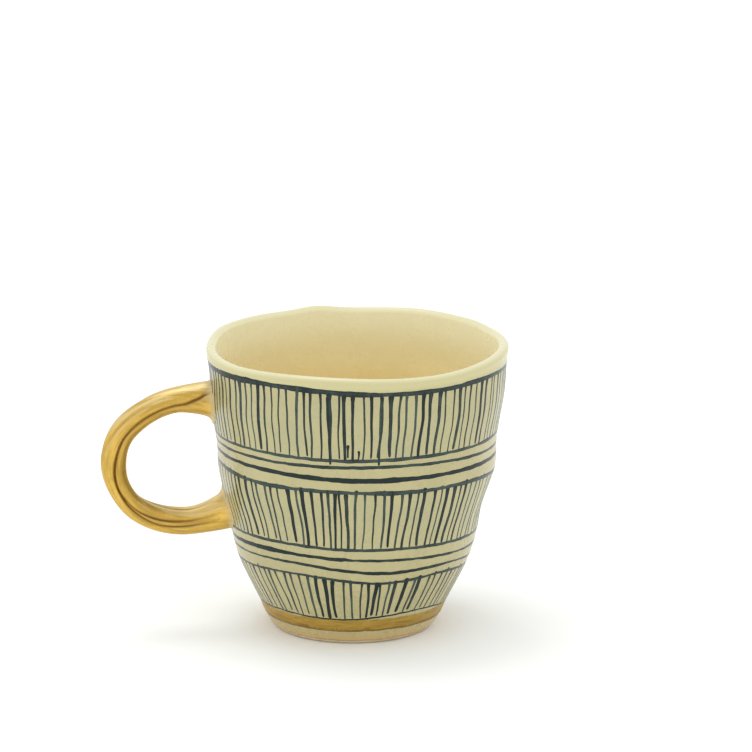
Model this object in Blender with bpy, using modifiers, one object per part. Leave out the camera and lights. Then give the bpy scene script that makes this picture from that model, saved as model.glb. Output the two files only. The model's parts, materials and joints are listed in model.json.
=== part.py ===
"""Handmade ceramic mug, built the way a hand-built mug is put together.

A flat base slab carries a tapered cup wall. A coil of clay is worked into the
inside corner where the two meet. Three rolled coils are twisted together into
a loop handle, and a flared clay joint fixes each end of them to the wall.
A band of gold lustre runs round the wall just above the foot.

Frame: metres, +Z up. The origin is the centre of the flat underside, on the
cup's axis. The handle loops out along -X.
"""

import math

import bpy
import bmesh
from mathutils import Matrix, Vector

MM = 0.001

# Driving dimensions
MUG_HEIGHT = 86.6 * MM
LIP_THICKNESS = 3.1 * MM
SLAB_THICKNESS = 4.2 * MM
PIECE_GAP = 0.3 * MM
BAND_GAP = 0.12 * MM
BAND_THICKNESS = 0.40 * MM
BAND_BOTTOM = 4.9 * MM
BAND_TOP = 8.2 * MM
AXIS_LEAN = 1.5 * MM
STRAND_RADIUS = 1.97 * MM
STRAND_OFFSET = 2.47 * MM
END_SWELL = 0.04
STRAND_COUNT = 3
FIRST_COIL_TURN = math.radians(-58)
HANDLE_TWIST = math.radians(75)
JOINT_LENGTH = 8.0 * MM
JOINT_RADIUS = 4.5 * MM
UPPER_FLARE = 6.4 * MM
LOWER_FLARE = 6.4 * MM

# Resolution
TURN_STEPS = 64
JOINT_STEPS = 24
STRAND_POINTS = 44

# Outer outline of the cup, foot to lip: (height, radius)
OUTER_OUTLINE = (
    (1.6 * MM, 25.0 * MM),
    (4.6 * MM, 26.7 * MM),
    (8.2 * MM, 28.2 * MM),
    (13.5 * MM, 30.9 * MM),
    (21.0 * MM, 34.4 * MM),
    (28.5 * MM, 36.6 * MM),
    (36.0 * MM, 38.1 * MM),
    (43.0 * MM, 40.0 * MM),
    (49.0 * MM, 41.4 * MM),
    (57.0 * MM, 42.0 * MM),
    (64.0 * MM, 42.9 * MM),
    (72.0 * MM, 44.2 * MM),
    (80.0 * MM, 44.6 * MM),
    (MUG_HEIGHT, 45.2 * MM),
)

# Wall thickness, foot to lip: (height, thickness)
WALL_THICKNESS = (
    (SLAB_THICKNESS, 5.4 * MM),
    (14.0 * MM, 4.8 * MM),
    (40.0 * MM, 3.9 * MM),
    (MUG_HEIGHT, LIP_THICKNESS),
)

# Waves left by the hand: (waves round the cup, size, angle of a crest)
RIM_WAVES = (
    (2, 0.25 * MM, math.radians(-50)),
    (3, 0.35 * MM, math.radians(7)),
    (4, 0.25 * MM, math.radians(-23)),
)

# Places where the rim was lifted: (angle, lift, half width)
RIM_LIFTS = (
    (math.radians(101), 1.00 * MM, math.radians(9)),
    (math.radians(55), 0.85 * MM, math.radians(22)),
    (math.radians(31), 0.35 * MM, math.radians(8)),
    (math.radians(130), 0.15 * MM, math.radians(18)),
    (math.radians(157), 0.55 * MM, math.radians(12)),
)

OVAL_WAVES = (
    (2, 0.20 * MM, math.radians(0)),
    (3, 0.20 * MM, math.radians(40)),
)

# Presses of the thumb: (angle, height, depth, half width, half height)
THUMB_PRESSES = (
    (math.radians(-4), 40.0 * MM, 0.4 * MM, 13.0 * MM, 6.0 * MM),
    (math.radians(-4), 50.0 * MM, -0.5 * MM, 14.0 * MM, 6.0 * MM),
    (math.radians(-75), 64.0 * MM, 0.7 * MM, 15.0 * MM, 12.0 * MM),
    (math.radians(-120), 41.0 * MM, 0.6 * MM, 14.0 * MM, 9.0 * MM),
    (math.radians(176), 76.0 * MM, 0.7 * MM, 18.0 * MM, 7.0 * MM),
    (math.radians(180), 52.0 * MM, 0.5 * MM, 16.0 * MM, 10.0 * MM),
    (math.radians(95), 45.0 * MM, 0.7 * MM, 18.0 * MM, 12.0 * MM),
)

# Middle line of the handle, upper joint to lower joint: (distance out, height)
HANDLE_LINE = (
    (37.9 * MM, 70.7 * MM),
    (46.0 * MM, 71.5 * MM),
    (54.7 * MM, 70.7 * MM),
    (62.9 * MM, 67.0 * MM),
    (69.4 * MM, 60.8 * MM),
    (71.7 * MM, 53.0 * MM),
    (70.4 * MM, 45.4 * MM),
    (66.0 * MM, 38.7 * MM),
    (59.1 * MM, 34.9 * MM),
    (51.5 * MM, 33.4 * MM),
    (44.0 * MM, 34.1 * MM),
    (34.1 * MM, 37.2 * MM),
)

MUG = "ceramic_mug"
CUTTERS = "cutters"


def clear_scene():
    """Remove every object, so that the script can run again from the editor."""
    for item in list(bpy.data.objects):
        bpy.data.objects.remove(item)
    for name in (MUG, CUTTERS):
        old = bpy.data.collections.get(name)
        if old:
            bpy.data.collections.remove(old)


def make_collection(name):
    """Return a new collection linked to the scene."""
    collection = bpy.data.collections.new(name)
    bpy.context.scene.collection.children.link(collection)
    return collection


def make_material(name, colour, roughness, metallic=0.0):
    """Return a plain Principled material."""
    material = bpy.data.materials.new(name)
    material.use_nodes = True
    shader = material.node_tree.nodes["Principled BSDF"]
    shader.inputs["Base Color"].default_value = (*colour, 1.0)
    shader.inputs["Roughness"].default_value = roughness
    shader.inputs["Metallic"].default_value = metallic
    return material


def along(points, position):
    """Read a smooth curve through (position, value) points at one position."""
    last = len(points) - 2
    index = 0
    while index < last and position > points[index + 1][0]:
        index += 1
    start, end = points[index], points[index + 1]
    before = points[max(index - 1, 0)]
    after = points[min(index + 2, len(points) - 1)]
    span = end[0] - start[0]
    share = min(max((position - start[0]) / span, 0.0), 1.0)
    slope_start = (end[1] - before[1]) / (end[0] - before[0]) * span
    slope_end = (after[1] - start[1]) / (after[0] - start[0]) * span
    square, cube = share ** 2, share ** 3
    return ((2 * cube - 3 * square + 1) * start[1] + (cube - 2 * square + share) * slope_start
            + (3 * square - 2 * cube) * end[1] + (cube - square) * slope_end)


def outer_radius(height):
    """Radius of the turned cup's outside at a height."""
    return along(OUTER_OUTLINE, height)


def inner_radius(height):
    """Radius of the turned cup's inside at a height."""
    return outer_radius(height) - along(WALL_THICKNESS, height)


def waves(table, angle):
    """Sum of a table's waves at an angle round the cup."""
    return sum(size * math.cos(count * (angle - crest)) for count, size, crest in table)


def rim_lift(angle):
    """How far the rim was lifted at an angle round the cup."""
    lift = waves(RIM_WAVES, angle)
    for lift_angle, size, half_width in RIM_LIFTS:
        across = math.remainder(angle - lift_angle, math.tau) / half_width
        lift += size * math.exp(-across ** 2)
    return lift


def thumb_depth(angle, height, radius):
    """How far the thumb presses push the wall in at one place."""
    depth = 0.0
    for press_angle, press_height, press_depth, half_width, half_height in THUMB_PRESSES:
        turn = math.remainder(angle - press_angle, math.tau)
        across = turn * radius / half_width
        up = (height - press_height) / half_height
        depth += press_depth * math.exp(-across ** 2 - up ** 2)
    return depth


def press_by_hand(point):
    """Move a point of the evenly turned cup to where hand pressing leaves it."""
    radius = math.hypot(point.x, point.y)
    angle = math.atan2(point.y, point.x)
    share = point.z / MUG_HEIGHT
    side = min(radius / (20.0 * MM), 1.0)
    pressed = radius + side * share * waves(OVAL_WAVES, angle)
    pressed -= side * thumb_depth(angle, point.z, radius)
    height = point.z + max(share, 0.0) ** 3 * rim_lift(angle)
    return Vector((
        pressed * math.cos(angle) + AXIS_LEAN * share,
        pressed * math.sin(angle),
        height,
    ))


def turned_mesh(name, profile, steps, closed):
    """Turn a profile of (radius, height) points about Z into a mesh."""
    mesh = bpy.data.meshes.new(name)
    count = len(profile)
    edges = [(index, index + 1) for index in range(count - 1)]
    if closed:
        edges.append((count - 1, 0))
    mesh.from_pydata([(radius, 0.0, height) for radius, height in profile], edges, [])
    blank = bpy.data.objects.new(name, mesh)
    bpy.context.scene.collection.objects.link(blank)
    screw = blank.modifiers.new("turn", "SCREW")
    screw.axis = "Z"
    screw.angle = math.tau
    screw.steps = steps
    screw.render_steps = steps
    screw.use_merge_vertices = True
    screw.merge_threshold = 0.00001
    turned = bpy.data.meshes.new_from_object(blank.evaluated_get(bpy.context.evaluated_depsgraph_get()))
    bpy.data.objects.remove(blank)
    turned.name = name
    return turned


def add_piece(name, mesh, material, collection):
    """Add a mesh to the scene as one named, smooth-shaded piece."""
    mesh.materials.clear()
    mesh.materials.append(material)
    mesh.shade_smooth()
    mesh.set_sharp_from_angle(angle=math.radians(40))
    piece = bpy.data.objects.new(name, mesh)
    collection.objects.link(piece)
    return piece


def add_pressed_piece(name, profile, material, collection, closed):
    """Turn a profile, press it by hand and add it as a piece."""
    mesh = turned_mesh(name, profile, TURN_STEPS, closed)
    for vertex in mesh.vertices:
        vertex.co = press_by_hand(vertex.co)
    return add_piece(name, mesh, material, collection)


def spread(low, high, count):
    """Evenly spaced values from low to high, both included."""
    return [low + (high - low) * index / (count - 1) for index in range(count)]


def add_base_slab(material, collection):
    """Flat slab under the cup, with a softened outer edge."""
    foot_radius = 22.9 * MM
    profile = [(0.0, SLAB_THICKNESS), (12.0 * MM, SLAB_THICKNESS)]
    profile.append((outer_radius(SLAB_THICKNESS) - 0.2 * MM, SLAB_THICKNESS))
    profile += [(outer_radius(height), height) for height in (4.0 * MM, 2.8 * MM, 1.6 * MM)]
    profile += [(24.3 * MM, 0.8 * MM), (23.7 * MM, 0.3 * MM), (foot_radius, 0.0)]
    profile += [(12.0 * MM, 0.0), (0.0, 0.0)]
    return add_pressed_piece("base_slab", profile, material, collection, closed=False)


def lip_arc():
    """Rounded top of the wall, from its outside to its inside."""
    round_radius = LIP_THICKNESS / 2
    centre_height = MUG_HEIGHT - round_radius
    centre_radius = outer_radius(centre_height) - round_radius
    arc = []
    for turn in spread(0.0, math.pi, 7):
        arc.append((
            centre_radius + round_radius * math.cos(turn),
            centre_height + round_radius * math.sin(turn),
        ))
    return arc


def add_cup_wall(material, collection):
    """Tapered wall with a rounded lip, open at the bottom onto the slab."""
    wall_bottom = SLAB_THICKNESS + PIECE_GAP
    below_lip = MUG_HEIGHT - LIP_THICKNESS
    arc = lip_arc()
    outside = [(outer_radius(height), height) for height in spread(below_lip, wall_bottom, 20)]
    inside = [(inner_radius(height), height) for height in spread(wall_bottom, below_lip, 16)]
    profile = list(reversed(arc)) + outside + inside
    return add_pressed_piece("cup_wall", profile, material, collection, closed=True)


def add_seam_coil(material, collection):
    """Clay coil worked into the inside corner between wall and slab."""
    floor = SLAB_THICKNESS + PIECE_GAP
    coil_top = floor + 5.0 * MM
    coil_reach = 6.0 * MM
    wall_face = [(inner_radius(height) - PIECE_GAP, height) for height in spread(coil_top, floor, 4)]
    outer_foot = wall_face[-1][0]
    fillet = []
    for turn in spread(0.0, math.pi / 2, 6)[:-1]:
        fillet.append((
            outer_foot - coil_reach * (1.0 - math.sin(turn)) - 0.2 * MM,
            floor + 0.3 * MM + (coil_top - floor - 0.3 * MM) * (1.0 - math.cos(turn)),
        ))
    profile = wall_face + [(outer_foot - coil_reach - 0.2 * MM, floor)] + fillet
    return add_pressed_piece("inner_seam_coil", profile, material, collection, closed=True)


def add_gold_band(material, collection):
    """Gold lustre round the wall above the foot, kept a hair off the wall."""
    near, far = BAND_GAP, BAND_GAP + BAND_THICKNESS
    heights = spread(BAND_TOP, BAND_BOTTOM, 4)
    outside = [(outer_radius(height) + far, height) for height in heights]
    inside = [(outer_radius(height) + near, height) for height in reversed(heights)]
    return add_pressed_piece("gold_foot_band", outside + inside, material, collection, closed=True)


def smooth_path(points, samples):
    """Points evenly spaced in parameter along a smooth curve through points."""
    ends = [points[0] * 2 - points[1]] + points + [points[-1] * 2 - points[-2]]
    path = []
    for position in spread(0.0, len(points) - 1.0, samples):
        index = min(int(position), len(points) - 2)
        share = position - index
        before, start, end, after = ends[index:index + 4]
        path.append(0.5 * (
            2 * start + (end - before) * share
            + (2 * before - 5 * start + 4 * end - after) * share ** 2
            + (3 * start - before - 3 * end + after) * share ** 3
        ))
    return path


class HandleLine:
    """Middle line of the handle, read by distance along it."""

    def __init__(self):
        knots = [Vector((-out, 0.0, height)) for out, height in HANDLE_LINE]
        self.points = smooth_path(knots, 400)
        self.distances = [0.0]
        for start, end in zip(self.points, self.points[1:]):
            self.distances.append(self.distances[-1] + (end - start).length)
        self.length = self.distances[-1]

    def at(self, distance):
        """Place and direction of the line at a distance from its upper end."""
        index = 0
        while index < len(self.points) - 2 and self.distances[index + 1] < distance:
            index += 1
        start, end = self.points[index], self.points[index + 1]
        step = (distance - self.distances[index]) / (self.distances[index + 1] - self.distances[index])
        return start.lerp(end, step), (end - start).normalized()

    def distance_at(self, out, from_top):
        """Distance at which the line first passes a place this far from the cup's axis."""
        order = range(len(self.points)) if from_top else reversed(range(len(self.points)))
        for index in order:
            if -self.points[index].x >= out:
                return self.distances[index]
        raise ValueError("the handle never reaches that far out")


def add_handle_coil(name, number, line, start, end, material, collection):
    """One of the rolled coils that twist round each other along the handle."""
    curve = bpy.data.curves.new(name, "CURVE")
    curve.dimensions = "3D"
    curve.bevel_depth = STRAND_RADIUS
    curve.bevel_resolution = 2
    curve.use_fill_caps = True
    spline = curve.splines.new("POLY")
    spline.points.add(STRAND_POINTS - 1)
    sideways = Vector((0.0, 1.0, 0.0))
    for point, distance in zip(spline.points, spread(start, end, STRAND_POINTS)):
        middle, direction = line.at(distance)
        outward = sideways.cross(direction)
        share = (distance - start) / (end - start)
        turn = FIRST_COIL_TURN + math.tau * number / STRAND_COUNT + HANDLE_TWIST * share
        offset = outward * math.cos(turn) + sideways * math.sin(turn)
        swell = 1.0 + END_SWELL * (2.0 * share - 1.0) ** 2
        point.co = (*(middle + offset * STRAND_OFFSET * swell), 1.0)
        point.radius = swell
    coil = bpy.data.objects.new(name, curve)
    curve.materials.append(material)
    collection.objects.link(coil)
    return coil


def add_cup_cutter(collection):
    """Solid outer form of the cup, grown by the gap, to trim the handle's joints."""
    heights = spread(MUG_HEIGHT + 1.0 * MM, 2.0 * MM, 26)
    profile = [(0.0, heights[0])]
    profile += [(outer_radius(min(height, MUG_HEIGHT)) + PIECE_GAP, height) for height in heights]
    profile.append((0.0, heights[-1]))
    mesh = turned_mesh("cup_cutter", profile, TURN_STEPS, closed=False)
    for vertex in mesh.vertices:
        vertex.co = press_by_hand(vertex.co)
    cutter = bpy.data.objects.new("cup_cutter", mesh)
    cutter.hide_render = True
    cutter.display_type = "WIRE"
    collection.objects.link(cutter)
    return cutter


def add_handle_joint(name, place, towards_wall, flare, cutter, material, collection):
    """Flared clay joint between the coils' ends and the cup's wall."""
    inside_wall = 4.5 * MM
    profile = [(0.0, 0.0)]
    for share in spread(0.0, 1.0, 8):
        profile.append((JOINT_RADIUS + (flare - JOINT_RADIUS) * share ** 3, -share * JOINT_LENGTH))
    profile += [(flare, -JOINT_LENGTH - inside_wall), (0.0, -JOINT_LENGTH - inside_wall)]
    mesh = turned_mesh(name, profile, JOINT_STEPS, closed=False)
    turn = (-towards_wall).to_track_quat("Z", "Y").to_matrix().to_4x4()
    mesh.transform(Matrix.Translation(place) @ turn)
    joint = add_piece(name, mesh, material, collection)
    trim = joint.modifiers.new("trim_to_wall", "BOOLEAN")
    trim.operation = "DIFFERENCE"
    trim.object = cutter
    return joint


def add_handle(gold, collection, cutters):
    """Three twisted coils and the two joints that hold them to the wall."""
    line = HandleLine()
    cutter = add_cup_cutter(cutters)
    upper = line.distance_at(50.2 * MM, from_top=True)
    lower = line.distance_at(47.0 * MM, from_top=False)
    place, direction = line.at(upper)
    add_handle_joint("upper_handle_joint", place, -direction, UPPER_FLARE, cutter, gold, collection)
    place, direction = line.at(lower)
    add_handle_joint("lower_handle_joint", place, direction, LOWER_FLARE, cutter, gold, collection)
    end_gap = PIECE_GAP + 0.1 * MM
    for number in range(STRAND_COUNT):
        name = f"handle_coil_{number + 1}"
        add_handle_coil(name, number, line, upper + end_gap, lower - end_gap, gold, collection)


def main():
    """Build the mug."""
    clear_scene()
    mug = make_collection(MUG)
    cutters = make_collection(CUTTERS)
    glaze = make_material("cream_glaze", (0.76, 0.70, 0.46), 0.30)
    clay = make_material("foot_clay", (0.66, 0.54, 0.32), 0.60)
    gold = make_material("gold_lustre", (0.72, 0.46, 0.16), 0.32, metallic=0.9)
    add_base_slab(clay, mug)
    add_cup_wall(glaze, mug)
    add_seam_coil(glaze, mug)
    add_gold_band(gold, mug)
    add_handle(gold, mug, cutters)


main()
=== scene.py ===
"""Looks of a handmade ceramic mug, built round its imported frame.

The cup is a cream glazed wall with a painted pattern: ten brushed lines and three
bands of short upright strokes. A band of gold lustre runs round the foot, and the
looped handle is gold too, fading to bare glaze where it meets the wall.

Lengths are metres and +Z is up. The origin is the centre of the flat underside.
"""

import json
import math

import bmesh
import bpy
import numpy as np
from bpy.props import FloatProperty, FloatVectorProperty, IntProperty, PointerProperty
from mathutils import Matrix, Vector, noise

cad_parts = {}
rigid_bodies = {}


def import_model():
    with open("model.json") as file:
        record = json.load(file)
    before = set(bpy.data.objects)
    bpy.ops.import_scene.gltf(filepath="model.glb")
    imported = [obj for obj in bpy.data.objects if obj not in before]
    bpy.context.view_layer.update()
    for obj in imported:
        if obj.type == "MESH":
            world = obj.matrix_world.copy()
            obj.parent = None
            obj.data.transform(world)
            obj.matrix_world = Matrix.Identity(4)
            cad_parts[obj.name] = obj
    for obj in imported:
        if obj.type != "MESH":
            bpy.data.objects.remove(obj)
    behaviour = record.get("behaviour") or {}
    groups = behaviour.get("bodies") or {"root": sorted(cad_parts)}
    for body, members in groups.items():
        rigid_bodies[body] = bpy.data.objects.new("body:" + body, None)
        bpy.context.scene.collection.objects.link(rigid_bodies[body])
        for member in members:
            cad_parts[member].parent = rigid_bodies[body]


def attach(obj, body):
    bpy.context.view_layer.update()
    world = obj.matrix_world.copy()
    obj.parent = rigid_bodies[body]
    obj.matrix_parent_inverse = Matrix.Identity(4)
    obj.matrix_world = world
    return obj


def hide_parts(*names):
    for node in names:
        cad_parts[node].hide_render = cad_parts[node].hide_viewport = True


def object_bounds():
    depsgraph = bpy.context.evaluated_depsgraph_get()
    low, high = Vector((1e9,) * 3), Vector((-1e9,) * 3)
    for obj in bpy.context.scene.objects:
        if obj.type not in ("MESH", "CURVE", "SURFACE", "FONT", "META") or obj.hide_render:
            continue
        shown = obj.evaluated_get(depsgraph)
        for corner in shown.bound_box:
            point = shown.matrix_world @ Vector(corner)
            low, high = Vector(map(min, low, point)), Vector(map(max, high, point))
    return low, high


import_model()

bl_info = {
    "name": "Handmade Ceramic Mug",
    "version": (1, 0, 0),
    "blender": (4, 5, 0),
    "location": "3D View > Sidebar > Mug",
    "description": "Builds a hand-pressed mug with painted strokes and a twisted gold handle",
    "category": "Object",
}

CAD_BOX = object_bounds()
MM = 0.001
BODY = "root"


def table(units, *rows):
    """Rows of numbers in the units named for their columns, in metres and radians."""
    scales = [{"mm": MM, "deg": math.radians(1.0), "times": 1}[unit] for unit in units.split()]
    return tuple(tuple(value * scale for value, scale in zip(row, scales)) for row in rows)


# Outer outline of the cup, foot to lip: (height, radius)
OUTER_OUTLINE = table(
    "mm mm",
    (1.6, 25.0), (4.6, 26.7), (8.2, 28.2), (13.5, 30.9), (21.0, 34.4), (28.5, 36.6), (36.0, 38.1),
    (43.0, 40.0), (49.0, 41.4), (57.0, 42.0), (64.0, 42.9), (72.0, 44.2), (80.0, 44.6), (86.6, 45.2),
)

# Wall thickness, foot to lip: (height, thickness)
WALL_THICKNESS = table("mm mm", (4.2, 5.4), (14.0, 4.8), (40.0, 3.9), (86.6, 3.1))

# Skins turned round the axis: (radius, height, place on the cup's map). The glazed
# skin starts under the floor, and the clay foot shows below it.
GLAZE_EDGE_ROWS = table(
    "mm mm times",
    (0.0, 1.3, -0.30), (8.0, 1.3, -0.22), (16.0, 1.3, -0.14), (22.0, 1.3, -0.08), (24.3, 1.3, -0.04),
    (24.75, 1.36, -0.02), (25.02, 1.55, 0.0),
)
CLAY_FOOT_ROWS = table(
    "mm mm times",
    (0.0, 0.25, 0.0), (6.0, 0.25, 0.1), (12.0, 0.22, 0.2), (17.5, 0.18, 0.3), (19.5, 0.06, 0.35),
    (20.5, 0.0, 0.4), (22.6, 0.0, 0.5), (23.3, 0.10, 0.55), (23.8, 0.32, 0.6), (24.2, 0.70, 0.65),
    (24.35, 1.05, 0.7), (24.0, 1.25, 0.75), (12.0, 1.25, 0.9), (0.0, 1.25, 1.0),
)
GLAZE_START = 1.9 * MM

# Radius from which the hand's presses have their full depth
FULL_PRESS_RADIUS = 20.0 * MM

# Waves left by the hand: (waves round the cup, size, angle of a crest)
RIM_WAVES = table("times mm deg", (2, 0.25, -50), (3, 0.35, 7), (4, 0.25, -23))
OVAL_WAVES = table("times mm deg", (2, 0.20, 0), (3, 0.20, 40))

# Places where the rim was lifted: (angle, lift, half width)
RIM_LIFTS = table(
    "deg mm deg",
    (101, 1.00, 9), (55, 0.85, 22), (31, 0.35, 8), (130, 0.15, 18), (157, 0.55, 12),
)

# Presses of the thumb: (angle, height, depth, half width, half height)
THUMB_PRESSES = table(
    "deg mm mm mm mm",
    (-4, 40.0, 0.4, 13.0, 6.0), (-4, 50.0, -0.5, 14.0, 6.0), (-75, 64.0, 0.7, 15.0, 12.0),
    (-120, 41.0, 0.6, 14.0, 9.0), (176, 76.0, 0.7, 18.0, 7.0), (180, 52.0, 0.5, 16.0, 10.0),
    (95, 45.0, 0.7, 18.0, 12.0),
)

# Middle line of the handle, upper end to lower end: (distance out, height)
HANDLE_LINE = table(
    "mm mm",
    (37.9, 70.1), (46.0, 70.9), (54.6, 70.3), (62.8, 66.8), (69.3, 60.7), (71.8, 53.0),
    (70.7, 45.3), (66.3, 38.4), (59.3, 34.4), (51.5, 33.0), (44.0, 33.9), (34.0, 37.0),
)

# Where the two joints begin, as distances out from the axis, and how long they are
UPPER_JOINT_OUT = 50.2 * MM
LOWER_JOINT_OUT = 47.0 * MM
JOINT_LENGTH = 8.0 * MM

# How thick the handle is along its length: (share of the way down, times the usual radius)
HANDLE_GIRTH = (
    (-0.10, 1.06), (0.00, 1.03), (0.06, 0.98), (0.20, 0.98), (0.30, 1.00), (0.42, 0.96),
    (0.48, 0.97), (0.60, 0.90), (0.66, 0.90), (0.80, 1.01), (0.90, 1.04), (1.00, 1.05), (1.10, 1.09),
)

# Creases between the handle's coils: each row is (share of the way down, angle
# round the coil in degrees, depth in mm). 0 is the outer edge of the loop, and
# -90 is the side that faces front.
HANDLE_CREASES = (
    ((-0.14, -46, 0.40), (-0.085, -62, 0.85), (-0.06, -77, 0.95), (-0.03, -91, 1.00), (0.00, -106, 1.00),
     (0.04, -112, 1.00), (0.08, -113, 0.95), (0.40, -104, 0.90), (0.55, -83, 0.95), (0.70, -70, 0.85),
     (0.82, -62, 0.75), (0.95, -75, 0.65), (1.10, -84, 0.20)),
    ((0.58, -80, 0.00), (0.68, -84, 0.55), (0.80, -90, 0.85), (0.88, -96, 0.80),
     (0.97, -102, 0.60), (1.10, -104, 0.10)),
    ((0.10, -62, 0.00), (0.20, -60, 0.25), (0.33, -50, 0.28), (0.48, -38, 0.00), (0.50, -36, 0.00)),
    ((-0.10, -2, 0.00), (0.00, 4, 0.35), (0.15, 14, 0.80), (0.50, 46, 0.90),
     (0.85, 70, 0.85), (1.00, 78, 0.40), (1.10, 82, 0.00)),
    ((-0.10, 112, 0.00), (0.00, 118, 0.40), (0.20, 132, 0.85), (0.60, 166, 0.90),
     (0.90, 190, 0.80), (1.00, 196, 0.40), (1.10, 200, 0.00)),
)

# How a crease is shaped round the coil, in radians from its middle: a sharp line in
# a soft hollow, and the painted shade along it, as a thin dark line and a shade to either side
CREASE_LINE_REACH = 0.11
CREASE_HOLLOW_REACH = 0.50
CREASE_HOLLOW_SHARE = 0.42
SHADE_LINE_REACH = 0.085
SHADE_LINE_SHARE = 0.72
SHADE_INNER_REACH = 0.75
SHADE_OUTER_REACH = 0.16
SOFT_SHADE_SHARE = 0.26
FULL_CREASE = 0.8 * MM

# How far the coils turn round each other from end to end
COIL_TWIST = math.radians(75)

# Waves of the gold band's middle line: (size in mm, angle of a crest in degrees)
BAND_WAVES = ((0.35, -90), (0.15, 60), (0.1, -40), (0.08, 20), (0, 0))

# Slow waves that a line's height is drawn with
WAVE_COUNT = 5

# Brushed lines from lip to foot. Each has its name, height, five slow waves as
# (size in mm, angle of a crest in degrees), width, how much it swells, where and
# over what reach in degrees, how uneven it is, and how strong the ink is.
PAINTED_LINES = (
    ("lip_line", 81.8, ((1.2, -140), (0.1, 79), (0.3, -37), (0.2, 40), (0, 0)),
     1.30, 0.30, -150, 45, 0.25, 0.60),
    ("shoulder_line", 61.2, ((0.45, -119), (0.1, 71), (0.1, -40), (0.15, 30), (0, 0)),
     0.88, 0.2, -75, 30, 0.3, 0.42),
    ("thin_upper_line", 58.4, ((1.05, -137), (0.35, 86), (0.15, 57), (0.15, 27), (0, 0)),
     0.78, 0.25, -90, 40, 0.3, 0.50),
    ("bold_upper_line", 55.0, ((1.05, -156), (0.15, 60), (0.2, -43), (0.15, 36), (0, 0)),
     1.05, 0.40, -100, 40, 0.35, 0.80),
    ("waist_line", 50.6, ((1.55, -154), (0.25, 87), (0.3, -57), (0.15, 31), (0.25, -34)),
     1.10, 0.20, -80, 40, 0.3, 0.45),
    ("belly_line", 31.9, ((1.1, -135), (0.4, 71), (0, 0), (0.2, 35), (0, 0)),
     0.80, 0.2, -90, 40, 0.3, 0.48),
    ("bold_lower_line", 28.55, ((1.45, -149), (0.45, 63), (0.15, 31), (0.25, 39), (0, 0)),
     0.95, 0.50, -140, 22, 0.45, 0.75),
    ("thin_lower_line", 25.1, ((1.9, -157), (0.4, 62), (0.2, -38), (0.3, 43), (0.3, 28)),
     0.72, 0.55, -95, 20, 0.35, 0.62),
    ("hem_line", 21.8, ((1.35, -149), (0.35, 67), (0.15, -33), (0.35, -44), (0.35, 25)),
     0.72, 0.2, -90, 40, 0.3, 0.52),
    ("foot_line", 8.1, ((1.4, -107), (0.45, -68), (0.5, -46), (0.35, 38), (0, 0)),
     0.50, 0.1, -90, 40, 0.3, 0.75),
)

# Bands of upright strokes: name, line above, line below, strokes round the cup,
# how far they gather towards the front going down (mm), and the random seed.
STROKE_BANDS = (
    ("upper_strokes", "lip_line", "shoulder_line", 108, 0.6, 11),
    ("middle_strokes", "waist_line", "belly_line", 98, 2.0, 23),
    ("lower_strokes", "hem_line", "foot_line", 82, 2.2, 37),
)

# Thickness of the strokes' paint, times that of the lines: in the bands, where they
# cross a line, and on their own, where they cross another stroke too
BAND_FILM = 1.3
STRAY_FILM = 1.9

# Steps along one stroke, and how many of them round off each end
STROKE_STEPS = 14
STROKE_END_STEPS = 2

# Strokes laid down by hand on their own: angle in degrees, top and bottom height
# in mm, width in mm, lean in mm and strength of ink.
STRAY_STROKES = (
    (-99.0, 66.6, 62.4, 0.66, -0.1, 1.0),
    (-95.0, 64.8, 61.8, 0.62, 0.1, 1.0),
    (-86.6, 81.6, 60.0, 0.98, -0.6, 1.0),
    (-106.7, 81.2, 60.2, 0.88, -0.9, 0.9),
    (-104.2, 51.4, 33.0, 1.00, 0.3, 1.0),
    (-85.0, 22.2, 10.2, 1.05, -0.8, 1.0),
)

# Tints of the glaze: washed with ink, warm, over the foot, on the lip's outer face, and the
# painted light high inside; and of the bare glaze that the gold stops short of.
WASHED_TINT = (0.410, 0.405, 0.235)
WARM_TINT = (0.490, 0.415, 0.200)
FOOT_TINT = (0.565, 0.405, 0.165)
LIP_FACE_TINT = (0.575, 0.525, 0.275)
HIGH_INSIDE_PAINTED_LIGHT = (0.83, 0.79, 0.53)
JOINT_DARK_TINT = (0.50, 0.40, 0.19)
JOINT_PALE_TINT = (0.60, 0.47, 0.23)

# Where ink washed into the glaze: heights at which it starts, is full, fades and
# ends, in mm, and how strong it is.
INK_WASHES = ((60.0, 63.0, 79.0, 81.5, 1.0), (31.0, 34.0, 48.0, 51.0, 0.8))
GLAZE_IOR = 1.5

# Where the camera looks, and the softbox: its place from the mug's middle and its side
CAMERA_AIM = Vector((7.0 * MM, 0.0, 76.2 * MM))
SOFTBOX_PLACE = Vector((-0.15, 0.20, 0.95))
SOFTBOX_SIDE = 0.45


# ---------------------------------------------------------------- settings

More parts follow.
